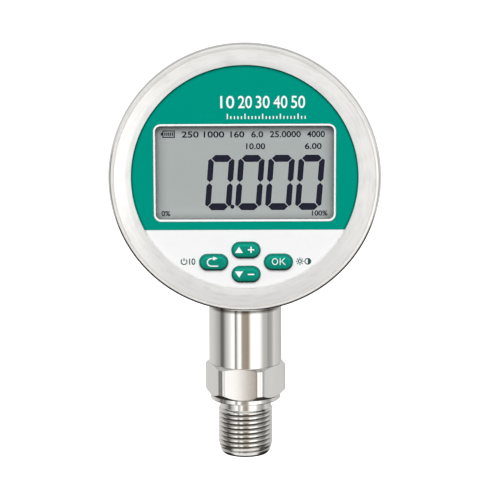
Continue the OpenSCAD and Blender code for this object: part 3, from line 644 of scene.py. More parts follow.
def clean(name, mesh, smooth_deg=35):
    grid = bmesh.new()
    grid.from_mesh(mesh)
    bmesh.ops.remove_doubles(grid, verts=grid.verts, dist=0.002 * MM)
    bmesh.ops.dissolve_degenerate(grid, edges=grid.edges, dist=0.001 * MM)
    bmesh.ops.recalc_face_normals(grid, faces=grid.faces)
    grid.to_mesh(mesh)
    grid.free()
    mesh.shade_smooth()
    mesh.set_sharp_from_angle(angle=math.radians(smooth_deg))
    return put(name, mesh)


def settle(piece, slot, *nodes, body=BODY, finish=None):
    """Gives a finished piece its finish and its body, and hides the nodes that it stands for.
    """
    piece.data.materials.clear()
    piece.data.materials.append((finish or FINISHES[slot]).material)
    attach(piece, body)
    if nodes:
        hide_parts(*nodes)
    return piece


def rounded(corners, steps=6):
    """A closed outline from corners (x, y, radius), with an arc at each that has one."""
    outline = []
    for i, (x, y, radius) in enumerate(corners):
        here = Vector((x, y))
        if not radius:
            outline.append(here)
            continue
        back = (Vector(corners[i - 1][:2]) - here).normalized()
        ahead = (Vector(corners[(i + 1) % len(corners)][:2]) - here).normalized()
        half = back.angle(ahead) / 2
        centre = here + (back + ahead).normalized() * (radius / math.sin(half))
        start = here + back * (radius / math.tan(half)) - centre
        end = here + ahead * (radius / math.tan(half)) - centre
        outline += [centre + start.slerp(end, k / steps) * radius
                    for k in range(steps + 1)]
    return outline


def skin(name, rows, capped=False, smooth_deg=35):
    """Closed rows of equal count, joined all round or from one cap to the other."""
    count, total = len(rows[0]), len(rows) * len(rows[0])
    faces = [tuple(range(count)), tuple(range(total - count, total))] if capped else []
    for r in range(len(rows) - 1 if capped else len(rows)):
        here, ahead = r * count, (r + 1) % len(rows) * count
        for i in range(count):
            j = (i + 1) % count
            faces.append((here + i, here + j, ahead + j, ahead + i))
    return make_mesh(name, [p for row in rows for p in row], faces, smooth_deg)


def arc(x, y, radius, start_deg, end_deg, steps=16):
    turn = [math.radians(start_deg + (end_deg - start_deg) * i / steps)
            for i in range(steps + 1)]
    return [(x + radius * math.cos(a), y + radius * math.sin(a)) for a in turn]


def oval(x, y, half_w, half_h, steps):
    turn = [TURN * i / steps for i in range(steps)]
    return [(x + half_w * math.cos(a), y + half_h * math.sin(a)) for a in turn]


def round_rect(width, height, radius, steps=10):
    x, y = width / 2 - radius, height / 2 - radius
    return (arc(x, y, radius, 0, 90, steps) + arc(-x, y, radius, 90, 180, steps)
            + arc(-x, -y, radius, 180, 270, steps) + arc(x, -y, radius, 270, 360, steps))


def band(points, width, closed=False):
    """Flat faces of a line of that width along some points, mitred at its bends."""
    longest_mitre = 2.5
    line = [Vector(p) for p in points]
    count = len(line)
    sides = []
    for i, here in enumerate(line):
        back = line[i - 1] if closed or i else here
        ahead = line[(i + 1) % count] if closed or i < count - 1 else here
        before = (here - back).normalized() if back != here else (ahead - here).normalized()
        after = (ahead - here).normalized() if ahead != here else before
        along = (before + after).normalized()
        stretch = min(longest_mitre, 1 / max(1e-9, along.dot(after)))
        across = Vector((-along.y, along.x)) * (width / 2 * stretch)
        sides.append((here + across, here - across))
    last = count if closed else count - 1
    return [[sides[i][0], sides[i][1], sides[(i + 1) % count][1], sides[(i + 1) % count][0]]
            for i in range(last)]


def glyphs(text, left, low, right, high, bold=0.0):
    """Flat faces of plain numbers or signs that fill a rectangle."""
    digit_share = 0.72
    curve = bpy.data.curves.new("glyphs", "FONT")
    curve.body = text
    curve.size = (high - low) / digit_share
    curve.offset = bold
    curve.resolution_u = 4
    mesh = evaluated(put("glyphs", curve))
    points = [v.co.copy() for v in mesh.vertices]
    loops = [list(face.vertices) for face in mesh.polygons]
    bpy.data.meshes.remove(mesh)
    bpy.data.curves.remove(curve)
    x0, x1 = min(p.x for p in points), max(p.x for p in points)
    y0, y1 = min(p.y for p in points), max(p.y for p in points)
    return [[Vector((left + (points[i].x - x0) * (right - left) / (x1 - x0),
                     low + (points[i].y - y0) * (high - low) / (y1 - y0)))
             for i in loop] for loop in loops]


def metres(faces):
    return [[(x * MM, y * MM) for x, y in face] for face in faces]


def ink_layer(name, faces, height, thickness):
    """Thin solid ink from flat faces, standing on the face at a height."""
    merge, speck = 0.002 * MM, 1e-12
    places, index, flat = {}, [], []
    for face in faces:
        loop = []
        for p in face:
            key = (round(p[0] / merge), round(p[1] / merge))
            if key not in places:
                places[key] = len(index)
                index.append(p)
            if places[key] not in loop:
                loop.append(places[key])
        area = sum(index[a][0] * index[b][1] - index[b][0] * index[a][1]
                   for a, b in zip(loop, loop[1:] + loop[:1]))
        if len(loop) > 2 and abs(area) > speck:
            flat.append(tuple(loop) if area > 0 else tuple(reversed(loop)))
    count = len(index)
    points = [on_face(p[0], p[1], height + thickness) for p in index]
    points += [on_face(p[0], p[1], height) for p in index]
    edges = {(a, b) for f in flat for a, b in zip(f, f[1:] + f[:1])}
    solid = flat + [tuple(i + count for i in reversed(f)) for f in flat]
    solid += [(a, a + count, b + count, b) for a, b in edges if (b, a) not in edges]
    return make_mesh(name, points, solid, 30)


def grow(name, build, values):
    """Runs a Geometry Nodes tree with named inputs once and keeps its plain mesh."""
    tree = bpy.data.node_groups.new(name, "GeometryNodeTree")
    tree.interface.new_socket("Geometry", in_out="OUTPUT", socket_type="NodeSocketGeometry")
    for label, value in values.items():
        kind = "NodeSocketInt" if isinstance(value, int) else "NodeSocketFloat"
        tree.interface.new_socket(label, in_out="INPUT", socket_type=kind)
    sheet = Sheet(tree)
    given = sheet.add("NodeGroupInput")
    shape = build(sheet, {label: given[label] for label in values})
    real = sheet.add("GeometryNodeRealizeInstances", None, {"Geometry": shape})
    dressed = sheet.add("GeometryNodeSetMaterial", None, {"Geometry": real})
    sheet.add("NodeGroupOutput", None, {"Geometry": dressed})
    carrier = put(name + "_carrier", bpy.data.meshes.new(name))
    modifier = carrier.modifiers.new(name, "NODES")
    modifier.node_group = tree
    for item in tree.interface.items_tree:
        if item.in_out == "INPUT":
            modifier[item.identifier] = values[item.name]
    mesh = evaluated(carrier)
    if not mesh.polygons:
        raise RuntimeError(f"the node tree {name} made no faces")
    return clean(name, mesh)


# Shapes by rule

def turned_rows(sheet, rows, around, radius, height):
    """A grid of rows wrapped round the stem, from rules for its radius and height."""
    grid = sheet.add("GeometryNodeMeshGrid", None,
                     {"Size X": 1.0, "Size Y": 1.0, "Vertices X": rows,
                      "Vertices Y": around})
    x, y, _ = sheet.parts(sheet.add("GeometryNodeInputPosition"))
    along, turn = x + 0.5, y + 0.5
    r, z = radius(along, turn), height(along, turn)
    angle = turn * TURN
    place = sheet.vector(r * angle.math("COSINE"), r * angle.math("SINE"), z)
    return sheet.add("GeometryNodeSetPosition", None, {"Geometry": grid, "Position": place})


def thread_tree(sheet, given):
    """A right-hand helical thread with a tapered start and a run-out into the neck."""
    pitch, top = given["Pitch"], given["Top"]
    reach = top + pitch

    def run(along):
        return along * reach - pitch

    def height(along, turn):
        return (run(along) + turn * pitch).math("MAXIMUM", 0).math("MINIMUM", top)

    def radius(along, turn):
        z = height(along, turn)
        start = given["End radius"] + z
        taper = given["Taper radius"] + z * given["Taper slope"]
        body = start.math("MINIMUM", taper).math("MINIMUM", given["Radius"])
        run_out_slope = 0.9
        fall = given["Radius"] - (z - given["Length"]) * run_out_slope
        body = body.math("MINIMUM", fall.math("MAXIMUM", given["Neck radius"]))
        phase = (run(along) / pitch).math("FRACT")
        from_root = (phase - 0.5).math("ABSOLUTE") * 2
        root_share, flank_share = 0.12, 0.5
        groove = 1 - (from_root - root_share) / flank_share
        cut = groove.limit() * given["Depth"]
        fade = (z - given["First turn"]).step(0, 1.5 * MM)
        run_out = ((given["Length"] + 0.2 * MM) - z).step(0, 0.9 * MM)
        return body - cut * fade * run_out

    def end_radius(along, turn):
        level, passage = along * 3, given["Passage radius"]
        return passage * level.limit() + (given["End radius"] - passage) * (level - 2).limit()

    def end_height(along, turn):
        return (1 - (along * 3 - 1).limit()) * given["Passage depth"]

    shell = turned_rows(sheet, given["Rows"], given["Around"], radius, height)
    end = turned_rows(sheet, 4, given["Around"], end_radius, end_height)
    lid = turned_rows(sheet, 2, given["Around"],
                      lambda along, turn: given["Neck radius"] * along,
                      lambda along, turn: top)
    joined = sheet.add("GeometryNodeJoinGeometry")
    for part in (shell, end, lid):
        sheet.tree.links.new(part.socket, joined.socket.node.inputs[0])
    return joined


def screw_tree(sheet, given):
    """One cross-recess screw at each corner of the battery cover."""
    grid = sheet.add("GeometryNodeMeshGrid", None,
                     {"Size X": given["Across"], "Size Y": given["Up"],
                      "Vertices X": 2, "Vertices Y": 2})
    model = sheet.add("GeometryNodeObjectInfo", {"transform_space": "ORIGINAL"},
                      {"Object": bpy.data.objects["cover_screw_model"]})["Geometry"]
    most_turn = 0.6
    turned = sheet.add("FunctionNodeRandomValue", {"data_type": "FLOAT"},
                       {"Min": -most_turn, "Max": most_turn, "Seed": 7})
    facing = sheet.add("GeometryNodeInstanceOnPoints", None,
                       {"Points": grid, "Instance": model,
                        "Rotation": sheet.vector(0, 0, turned)})
    return sheet.add("GeometryNodeTransform", None,
                     {"Geometry": facing, "Rotation": (math.radians(-90), 0, 0),
                      "Translation": sheet.vector(0, given["Back"], given["Rise"])})


def tick_tree(sheet, given):
    """A level row of marks, with a taller one under each number."""
    line = sheet.add("GeometryNodeMeshLine", None,
                     {"Count": given["Count"],
                      "Start Location": sheet.vector(given["Start"], given["Front"],
                                                     given["Foot"]),
                      "Offset": sheet.vector(given["Step"], 0, 0)})
    number = sheet.add("GeometryNodeInputIndex")
    short = (number / TICKS_PER_NUMBER).math("FRACT").math("GREATER_THAN", 0.1)
    shorter_by = 0.45
    tall = given["Tall"] * (1 - short * shorter_by)
    mark = sheet.add("GeometryNodeMeshCube", None, {"Size": (1, 1, 1)})["Mesh"]
    marks = sheet.add("GeometryNodeInstanceOnPoints", None,
                      {"Points": line, "Instance": mark,
                       "Scale": sheet.vector(given["Width"], given["Thickness"], tall)})
    half = sheet.vector(0, 0, tall * 0.5)
    return sheet.add("GeometryNodeTranslateInstances", {},
                     {"Instances": marks, "Translation": half, "Local Space": False})


# Pieces

class GaugePiece:
    """What the operators share."""
    bl_options = {"REGISTER", "UNDO"}


class GAUGE_OT_finishes(GaugePiece, bpy.types.Operator):
    """Gives every CAD node the finish of its material slot"""
    bl_idname = "gauge.finishes"
    bl_label = "Finishes"

    def execute(self, context):
        FINISHES.update(make_finishes())
        for part in frame["record"]["subparts"]:
            mesh = NODES[part["node"]].data
            mesh.materials.clear()
            mesh.materials.append(FINISHES[part["material_slot"]].material)
        return {"FINISHED"}


class GAUGE_OT_bezel(GaugePiece, bpy.types.Operator):
    """Turns the bezel with its rounded edges"""
    bl_idname = "gauge.bezel"
    bl_label = "Bezel"

    def execute(self, context):
        s = sizes("bezel")
        bore_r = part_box("case_shell")[1].x + 0.1 * MM
        crease_r, crease_h = s.opening_r + s.bevel_w, BEZEL_FRONT - s.band_drop
        foot_h = crease_h - s.bevel_drop
        lip_back = foot_h - s.lip_t
        land_h = BEZEL_FRONT - s.round_r - s.rim_land
        skirt_r, skirt_h = BEZEL_R - s.rim_w, land_h - 1.2 * s.rim_w
        lip_edge, crease_edge, land_edge, back_edge = (
            0.2 * MM, 0.9 * MM, 0.3 * MM, 0.7 * MM)
        outline = rounded([
            (s.opening_r, lip_back, 0), (s.opening_r, foot_h, lip_edge),
            (crease_r, crease_h, crease_edge),
            (BEZEL_R - s.round_r, BEZEL_FRONT, crease_edge),
            (BEZEL_R, BEZEL_FRONT, s.round_r * 0.9), (BEZEL_R, land_h, land_edge),
            (skirt_r, skirt_h, s.edge_r), (skirt_r, BEZEL_BACK, back_edge),
            (bore_r, BEZEL_BACK, s.edge_r), (bore_r, lip_back, 0)], 8)
        steps = 256
        turns = [(math.cos(TURN * i / steps), math.sin(TURN * i / steps))
                 for i in range(steps)]
        rows = [[on_face(radius * cosine, radius * sine, height)
                 for radius, height in outline] for cosine, sine in turns]
        settle(skin("bezel", rows), "bezel_steel", "bezel_ring")
        return {"FINISHED"}


class GAUGE_OT_window(GaugePiece, bpy.types.Operator):
    """Makes the window's rounded white rim"""
    bl_idname = "gauge.window"
    bl_label = "Window rim"

    def execute(self, context):
        s = sizes("face")
        flange_w = (RIM_HIGH.x - RIM_LOW.x - s.window_w) / 2
        front, back = -RIM_LOW.y, -RIM_HIGH.y
        flange_t, flange_side, flange_lip, edge_r = 1.7 * MM, 1.1 * MM, 0.6 * MM, 0.22 * MM
        flange_h = back + flange_t
        pocket_w, pocket_h = flange_w - flange_side, flange_h - flange_lip

        def ring(grow_by, height):
            shape = round_rect(s.window_w + 2 * grow_by, s.window_h + 2 * grow_by,
                               max(s.window_corner_r + grow_by, 0.4 * MM))
            return [on_face(x, y + WINDOW_RISE, height) for x, y in shape]

        section = rounded([
            (flange_w, back, 0), (flange_w, flange_h, 0), (0, flange_h, 0),
            (0, front, edge_r), (-s.rim_w, front, edge_r), (-s.rim_w, pocket_h, 0),
            (pocket_w, pocket_h, 0), (pocket_w, back, 0)], 4)
        rim = skin("window_rim", [ring(grown, height) for grown, height in section])
        settle(rim, "frame_white", "window_frame")
        return {"FINISHED"}


def stroke_faces(d, margin=0.0):
    """Flat faces of the four resting noughts and the point, drawn out by a margin."""
    slant = 0.077
    half_w, top, gap = d.digit_w / 2, d.digit_half_h, d.stroke_gap / 2
    half_up, half_level = d.upright_w / 2, d.level_w / 2
    corner = margin * 0.6
    over, under = top + half_level + margin, top - half_level - margin
    level_in = half_w - half_level - gap + corner
    level_end = half_w - gap + margin
    level = [(-level_end, top), (-level_in, over), (level_in, over), (level_end, top),
             (level_in, under), (-level_in, under)]
    outside, inside = half_w + half_up + margin, half_w - half_up - margin
    foot = half_up + gap - corner
    upright = [(half_w, gap - margin), (outside, foot),
               (outside, top - half_level * 0.55 + corner),
               (half_w + gap, top - gap * 0.6 + margin),
               (inside, top - half_level - gap + margin), (inside, foot)]

    def lean(x, y, middle):
        return middle + x + slant * y, d.digit_y + y

    faces = []
    for i in range(4):
        middle = d.first_digit_x + i * d.digit_step
        for sy in (-1, 1):
            faces.append([lean(x, sy * y, middle) for x, y in level])
            faces += [[lean(sx * x, sy * y, middle) for x, y in upright] for sx in (-1, 1)]
    point_x, point_y = lean((d.digit_step - d.upright_w / 4) / 2, -top, d.first_digit_x)
    faces.append(arc(point_x, point_y, d.point_d / 2 + margin, 0, 345, 23))
    return faces


class GAUGE_OT_display(GaugePiece, bpy.types.Operator):
    """Draws the display's strokes, their halo and the small signs"""
    bl_idname = "gauge.display"
    bl_label = "Display"

    # Text, left, low, right and high, in millimetres from the middle of the case
    small_rows = (
        ("250", -23.6, 14.6, -17.2, 17.0), ("1000", -15.3, 14.6, -7.6, 17.0),
        ("160", -5.3, 14.6, -0.1, 17.0), ("6.0", 2.5, 14.6, 7.0, 17.0),
        ("25.0000", 9.5, 14.6, 21.1, 17.0), ("4000", 23.4, 14.6, 30.1, 17.0),
        ("10.00", 0.6, 10.1, 7.7, 12.4), ("6.00", 22.6, 10.1, 28.9, 12.4),
        ("0%", -31.4, -15.4, -28.1, -13.4), ("100%", 25.3, -15.4, 31.2, -13.4))

    def execute(self, context):
        d = sizes("display")
        film = DISPLAY_FRONT
        halo = ink("display_halo", (0.47, 0.50, 0.50))
        halo_t, overlap_step = 0.01 * MM, 0.0008 * MM
        for i, face in enumerate(stroke_faces(d, d.halo_w)):
            layer = ink_layer(f"display_halo_{i:02d}", [face], film,
                              halo_t + overlap_step * i)
            settle(layer, "lcd_grey", finish=halo)
        strokes = ink_layer("display_strokes", stroke_faces(d), film, 0.1 * MM)
        settle(strokes, "lcd_dark", "lcd_segments")
        signs = []
        for text, *sides in self.small_rows:
            signs += glyphs(text, *(side * MM for side in sides), bold=0.06 * MM)
        signs += metres(self.battery_sign())
        settle(ink_layer("display_signs", signs, film, 0.08 * MM), "lcd_dark")
        return {"FINISHED"}

    @staticmethod
    def battery_sign():
        """A battery with five bars, in millimetres from the middle of the case."""
        left, right, low, high = -30.6, -26.3, 14.75, 17.15
        nub_w, nub_in, bar_w, bar_in, bar_step = 0.8, 0.7, 0.45, 0.55, 0.72

        def block(x, width, inside):
            return [(x, low + inside), (x + width, low + inside),
                    (x + width, high - inside), (x, high - inside)]

        outline = band(block(left, right - left, 0), 0.36, closed=True)
        bars = [block(left + bar_in + bar_step * i, bar_w, bar_in) for i in range(5)]
        return outline + [block(left - nub_w, nub_w, nub_in)] + bars


class GAUGE_OT_prints(GaugePiece, bpy.types.Operator):
    """Prints the plain numbers, the marks and the side signs on the face"""
    bl_idname = "gauge.prints"
    bl_label = "Face prints"

    def execute(self, context):
        s = sizes("face")
        white = ink("white_ink", sizes("colours").ink)
        dark = ink("dark_ink", sizes("colours").dark_ink)
        half_w, half_h = s.title_w / 2, s.title_h / 2
        faces = []
        for i, text in enumerate(("10", "20", "30", "40", "50")):
            x = s.title_x + s.title_step * i
            faces += glyphs(text, x - half_w, s.title_y - half_h, x + half_w,
                            s.title_y + half_h, bold=0.05 * MM)
        layer = ink_layer("title_numbers", faces, FACE_FRONT, s.print_t)
        settle(layer, "frame_white", finish=white)
        marks = grow("title_marks", tick_tree, {
            "Count": s.ticks, "Start": s.title_x, "Step": s.title_step / TICKS_PER_NUMBER,
            "Front": -FACE_FRONT, "Foot": CASE_RISE + s.tick_y, "Tall": s.tick_h,
            "Width": s.tick_w, "Thickness": 2 * s.print_t})
        settle(marks, "frame_white", finish=white)
        signs = []
        for sign, x in ((self.power_sign, -23.0), (self.switch_sign, -20.0),
                        (self.lamp_sign, 20.7), (self.half_sign, 23.7)):
            signs += sign(x, self.side_row)
        layer = ink_layer("side_signs", metres(signs), FACE_FRONT, s.print_t)
        settle(layer, "seal_black", finish=dark)
        return {"FINISHED"}

    # The signs beside the keys are drawn in millimetres from the middle of the case
    side_row = -32.35

    @staticmethod
    def power_sign(x, y):
        line = 0.42
        return (band(arc(x, y, 1.1, 130, 410, 28), line)
                + band([(x, y + 0.2), (x, y + 1.4)], line))

    @staticmethod
    def switch_sign(x, y):
        line = 0.42
        return (band([(x - 0.9, y - 1.2), (x - 0.9, y + 1.2)], line)
                + band(oval(x + 0.55, y, 0.55, 1.05, 28), line, closed=True))

    @staticmethod
    def lamp_sign(x, y):
        line = 0.4
        sign = band(arc(x, y, 0.6, 0, 345, 23), line, closed=True)
        inner, outer = (oval(x, y, r, r, 8) for r in (0.95, 1.45))
        for ray in zip(inner, outer):
            sign += band(ray, line)
        return sign

    @staticmethod
    def half_sign(x, y):
        """A ring whose right half is full."""
        return (band(arc(x, y, 1.1, 0, 350, 35), 0.38, closed=True)
                + [arc(x, y, 0.96, -90, 90, 18)])


def triangle(x, y, half_w, rise):
    """Its level side lies at the rise from the middle, and its point opposite."""
    return [(x - half_w, y + rise), (x + half_w, y + rise), (x, y - rise)]


class GAUGE_OT_keys(GaugePiece, bpy.types.Operator):
    """Makes the four rounded keys and the white signs on them"""
    bl_idname = "gauge.keys"
    bl_label = "Keys"

    def execute(self, context):
        white = ink("key_white_ink", sizes("colours").ink)
        for name, sign in (("up", self.arrow_up), ("down", self.arrow_down),
                           ("back", self.arrow_back), ("ok", self.letters)):
            low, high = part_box("key_" + name)
            x, y = (low.x + high.x) / 2, (low.z + high.z) / 2 - CASE_RISE
            front, back = -low.y, -high.y
            cap = self.cap("key_cap_" + name, x, y, back, front)
            settle(cap, "key_green", "key_" + name, body="button_" + name,
                   finish=key_plastic(name, x, y + CASE_RISE))
            layer = ink_layer("key_sign_" + name, metres(sign(x / MM, y / MM)),
                              front + sizes("key").crown, 0.02 * MM)
            settle(layer, "frame_white", body="button_" + name, finish=white)
        return {"FINISHED"}

    @staticmethod
    def cap(name, x, y, back, front):
        s = sizes("key")
        r = s.edge_r
        flange_h = back + s.flange_t
        levels = [(-s.flange_w, back), (-s.flange_w, flange_h), (0.0, flange_h)]
        levels += [(r * (1 - math.cos(a)), front - r + r * math.sin(a))
                   for a in (math.radians(90 * i / 8) for i in range(9))]
        levels += [(r + inward, front + s.crown * share)
                   for inward, share in ((0.35 * MM, 0.7), (0.8 * MM, 1.0))]
        rings = []
        for inset, height in levels:
            w, h = s.width - 2 * inset, s.height - 2 * inset
            rings.append([on_face(x + px, y + py, height)
                          for px, py in round_rect(w, h, h / 2 - 0.001 * MM, 16)])
        return skin(name, rings, capped=True, smooth_deg=50)

    # The signs are drawn in millimetres round a key's middle (x, y)
    @staticmethod
    def arrow_up(x, y):
        y += 0.35
        plus, reach, line = x + 1.9, 1.2, 0.5
        return [triangle(x - 2.65, y, 1.5, -1.2),
                *band([(plus - reach, y), (plus + reach, y)], line),
                *band([(plus, y - reach), (plus, y - line / 2)], line),
                *band([(plus, y + line / 2), (plus, y + reach)], line)]

    @staticmethod
    def arrow_down(x, y):
        y += 0.15
        minus, reach, line = x + 1.9, 1.2, 0.5
        return [triangle(x - 2.65, y, 1.55, 1.2),
                *band([(minus - reach, y), (minus + reach, y)], line)]

    @staticmethod
    def arrow_back(x, y):
        y += 0.55
        line = 0.45
        bend = arc(x - 0.9, y - 0.35, 1.45, 80, 270, 22)
        head = [(x - 0.2, y + 1.95), (x - 0.2, y + 0.35), (x + 1.5, y + 1.15)]
        neck = [(x - 0.65, y + 1.08), (x - 0.15, y + 1.14)]
        return band(bend + [(x + 1.7, y - 1.8)], line) + band(neck, line) + [head]

    @staticmethod
    def letters(x, y):
        y += 0.45
        half_h, line, stem_x = 1.325, 0.32, x + 0.65
        ring = oval(x - 1.3, y, 1.0, half_h - line / 2, 36)
        low, high = y - half_h, y + half_h
        return (band(ring, line, closed=True) + band([(stem_x, low), (stem_x, high)], line)
                + band([(stem_x + line / 2, y - 0.25), (stem_x + 1.75, high)], line)
                + band([(stem_x + 0.55, y + 0.15), (stem_x + 1.95, low)], line))


class GAUGE_OT_fitting(GaugePiece, bpy.types.Operator):
    """Cuts the helical thread and mills the hexagon over it"""
    bl_idname = "gauge.fitting"
    bl_label = "Process fitting"

    def execute(self, context):
        s = sizes("stem")
        rows_per_turn, overlap = 12, 0.4 * MM
        turns = math.ceil((s.collar_z + overlap) / s.pitch)
        piece = grow("fitting_thread", thread_tree, {
            "Pitch": s.pitch, "Top": turns * s.pitch, "Length": s.thread_len,
            "Radius": s.thread_r, "Depth": s.depth, "End radius": s.end_r,
            "Taper radius": s.taper_r, "Taper slope": 0.3, "First turn": s.first_turn,
            "Neck radius": s.neck_r, "Passage radius": s.passage_r,
            "Passage depth": s.passage_depth, "Rows": (turns + 1) * rows_per_turn + 1,
            "Around": 129})
        settle(piece, "fitting_steel", "process_fitting")
        settle(self.hexagon(s), "fitting_steel", "process_fitting", finish=milled_steel())
        return {"FINISHED"}

    @staticmethod
    def hexagon(s):
        """The collar and the hexagon, its corners turned and chamfered at both ends."""
        top_z, edge = TUBE_FOOT, 0.3 * MM
        foot_slope, top_slope = math.tan(math.radians(45)), math.tan(math.radians(30))
        steps_per_side = 32
        columns = []
        for i in range(6 * steps_per_side):
            local = math.radians(60 * (i % steps_per_side) / steps_per_side - 30)
            angle = math.radians(60 * (i // steps_per_side)) + local + s.hex_turn - TURN / 4
            reach = min(s.hex_af / 2 / math.cos(local), s.hex_corner_r)
            over = reach - s.collar_r
            outline = [(0, s.collar_z), (s.collar_r - edge, s.collar_z),
                       (s.collar_r, s.collar_z + edge), (s.collar_r, s.hex_z),
                       (reach, s.hex_z + over * foot_slope),
                       (reach, top_z - over * top_slope), (s.collar_r, top_z), (0, top_z)]
            columns.append([Vector((r * math.cos(angle), r * math.sin(angle), z))
                            for r, z in outline])
        count = len(columns[0])
        points = [p for column in columns for p in column]
        faces = [(c * count + i, (c + 1) % len(columns) * count + i,
                  (c + 1) % len(columns) * count + i + 1, c * count + i + 1)
                 for c in range(len(columns)) for i in range(count - 1)]
        return make_mesh("fitting_hexagon", points, faces, 18)


class GAUGE_OT_cover_screws(GaugePiece, bpy.types.Operator):
    """Sets a cross-recess screw in each corner of the battery cover"""
    bl_idname = "gauge.cover_screws"
    bl_label = "Cover screws"

    def execute(self, context):
        low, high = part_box("cover_screws")
        head_r, shank_r = 2.8 * MM, 1.5 * MM
        self.model(head_r, shank_r, high.y - low.y)
        piece = grow("cover_screws_cross", screw_tree, {
            "Across": high.x - low.x - 2 * head_r, "Up": high.z - low.z - 2 * head_r,
            "Back": high.y, "Rise": (low.z + high.z) / 2})
        bpy.data.objects.remove(bpy.data.objects["cover_screw_model"])
        settle(piece, "screw_steel", "cover_screws")
        return {"FINISHED"}

    @staticmethod
    def model(head_r, shank_r, total):
        """A countersunk screw, its head up at height 0, with a tapered cross recess."""
        head_t, land, edge, tip = 1.3 * MM, 0.12 * MM, 0.15 * MM, 0.3 * MM
        recess, recess_taper = 0.9 * MM, 0.7
        arm, half = head_r * 0.62, head_r * 0.15
        cross = []
        for i in range(4):
            c, s = math.cos(TURN * i / 4), math.sin(TURN * i / 4)
            for x, y in ((half, -half), (arm, -half), (arm, half)):
                cross.append((x * c - y * s, x * s + y * c))
        grid = bmesh.new()
        around = 48

        def ring(radius, height):
            return [grid.verts.new((radius * math.cos(TURN * i / around),
                                    radius * math.sin(TURN * i / around), height))
                    for i in range(around)]

        def join(a, b):
            for i in range(len(a)):
                j = (i + 1) % len(a)
                grid.faces.new((a[i], a[j], b[j], b[i]))

        levels = [ring(r, z) for r, z in
                  ((head_r - edge, 0), (head_r, -land), (shank_r, -head_t),
                   (shank_r, tip - total), (shank_r - tip, -total))]
        for a, b in zip(levels, levels[1:]):
            join(a, b)
        grid.faces.new(levels[-1])
        mouth = [grid.verts.new((x, y, 0)) for x, y in cross]
        floor = [grid.verts.new((x * recess_taper, y * recess_taper, -recess))
                 for x, y in cross]
        join(mouth, floor)
        grid.faces.new(floor)
        edges = [grid.edges.get((loop[i - 1], loop[i]))
                 for loop in (levels[0], mouth) for i in range(len(loop))]
        bmesh.ops.triangle_fill(grid, edges=edges, use_beauty=True)
        bmesh.ops.recalc_face_normals(grid, faces=grid.faces)
        mesh = bpy.data.meshes.new("cover_screw_model")
        grid.to_mesh(mesh)
        grid.free()
        put(mesh.name, mesh)


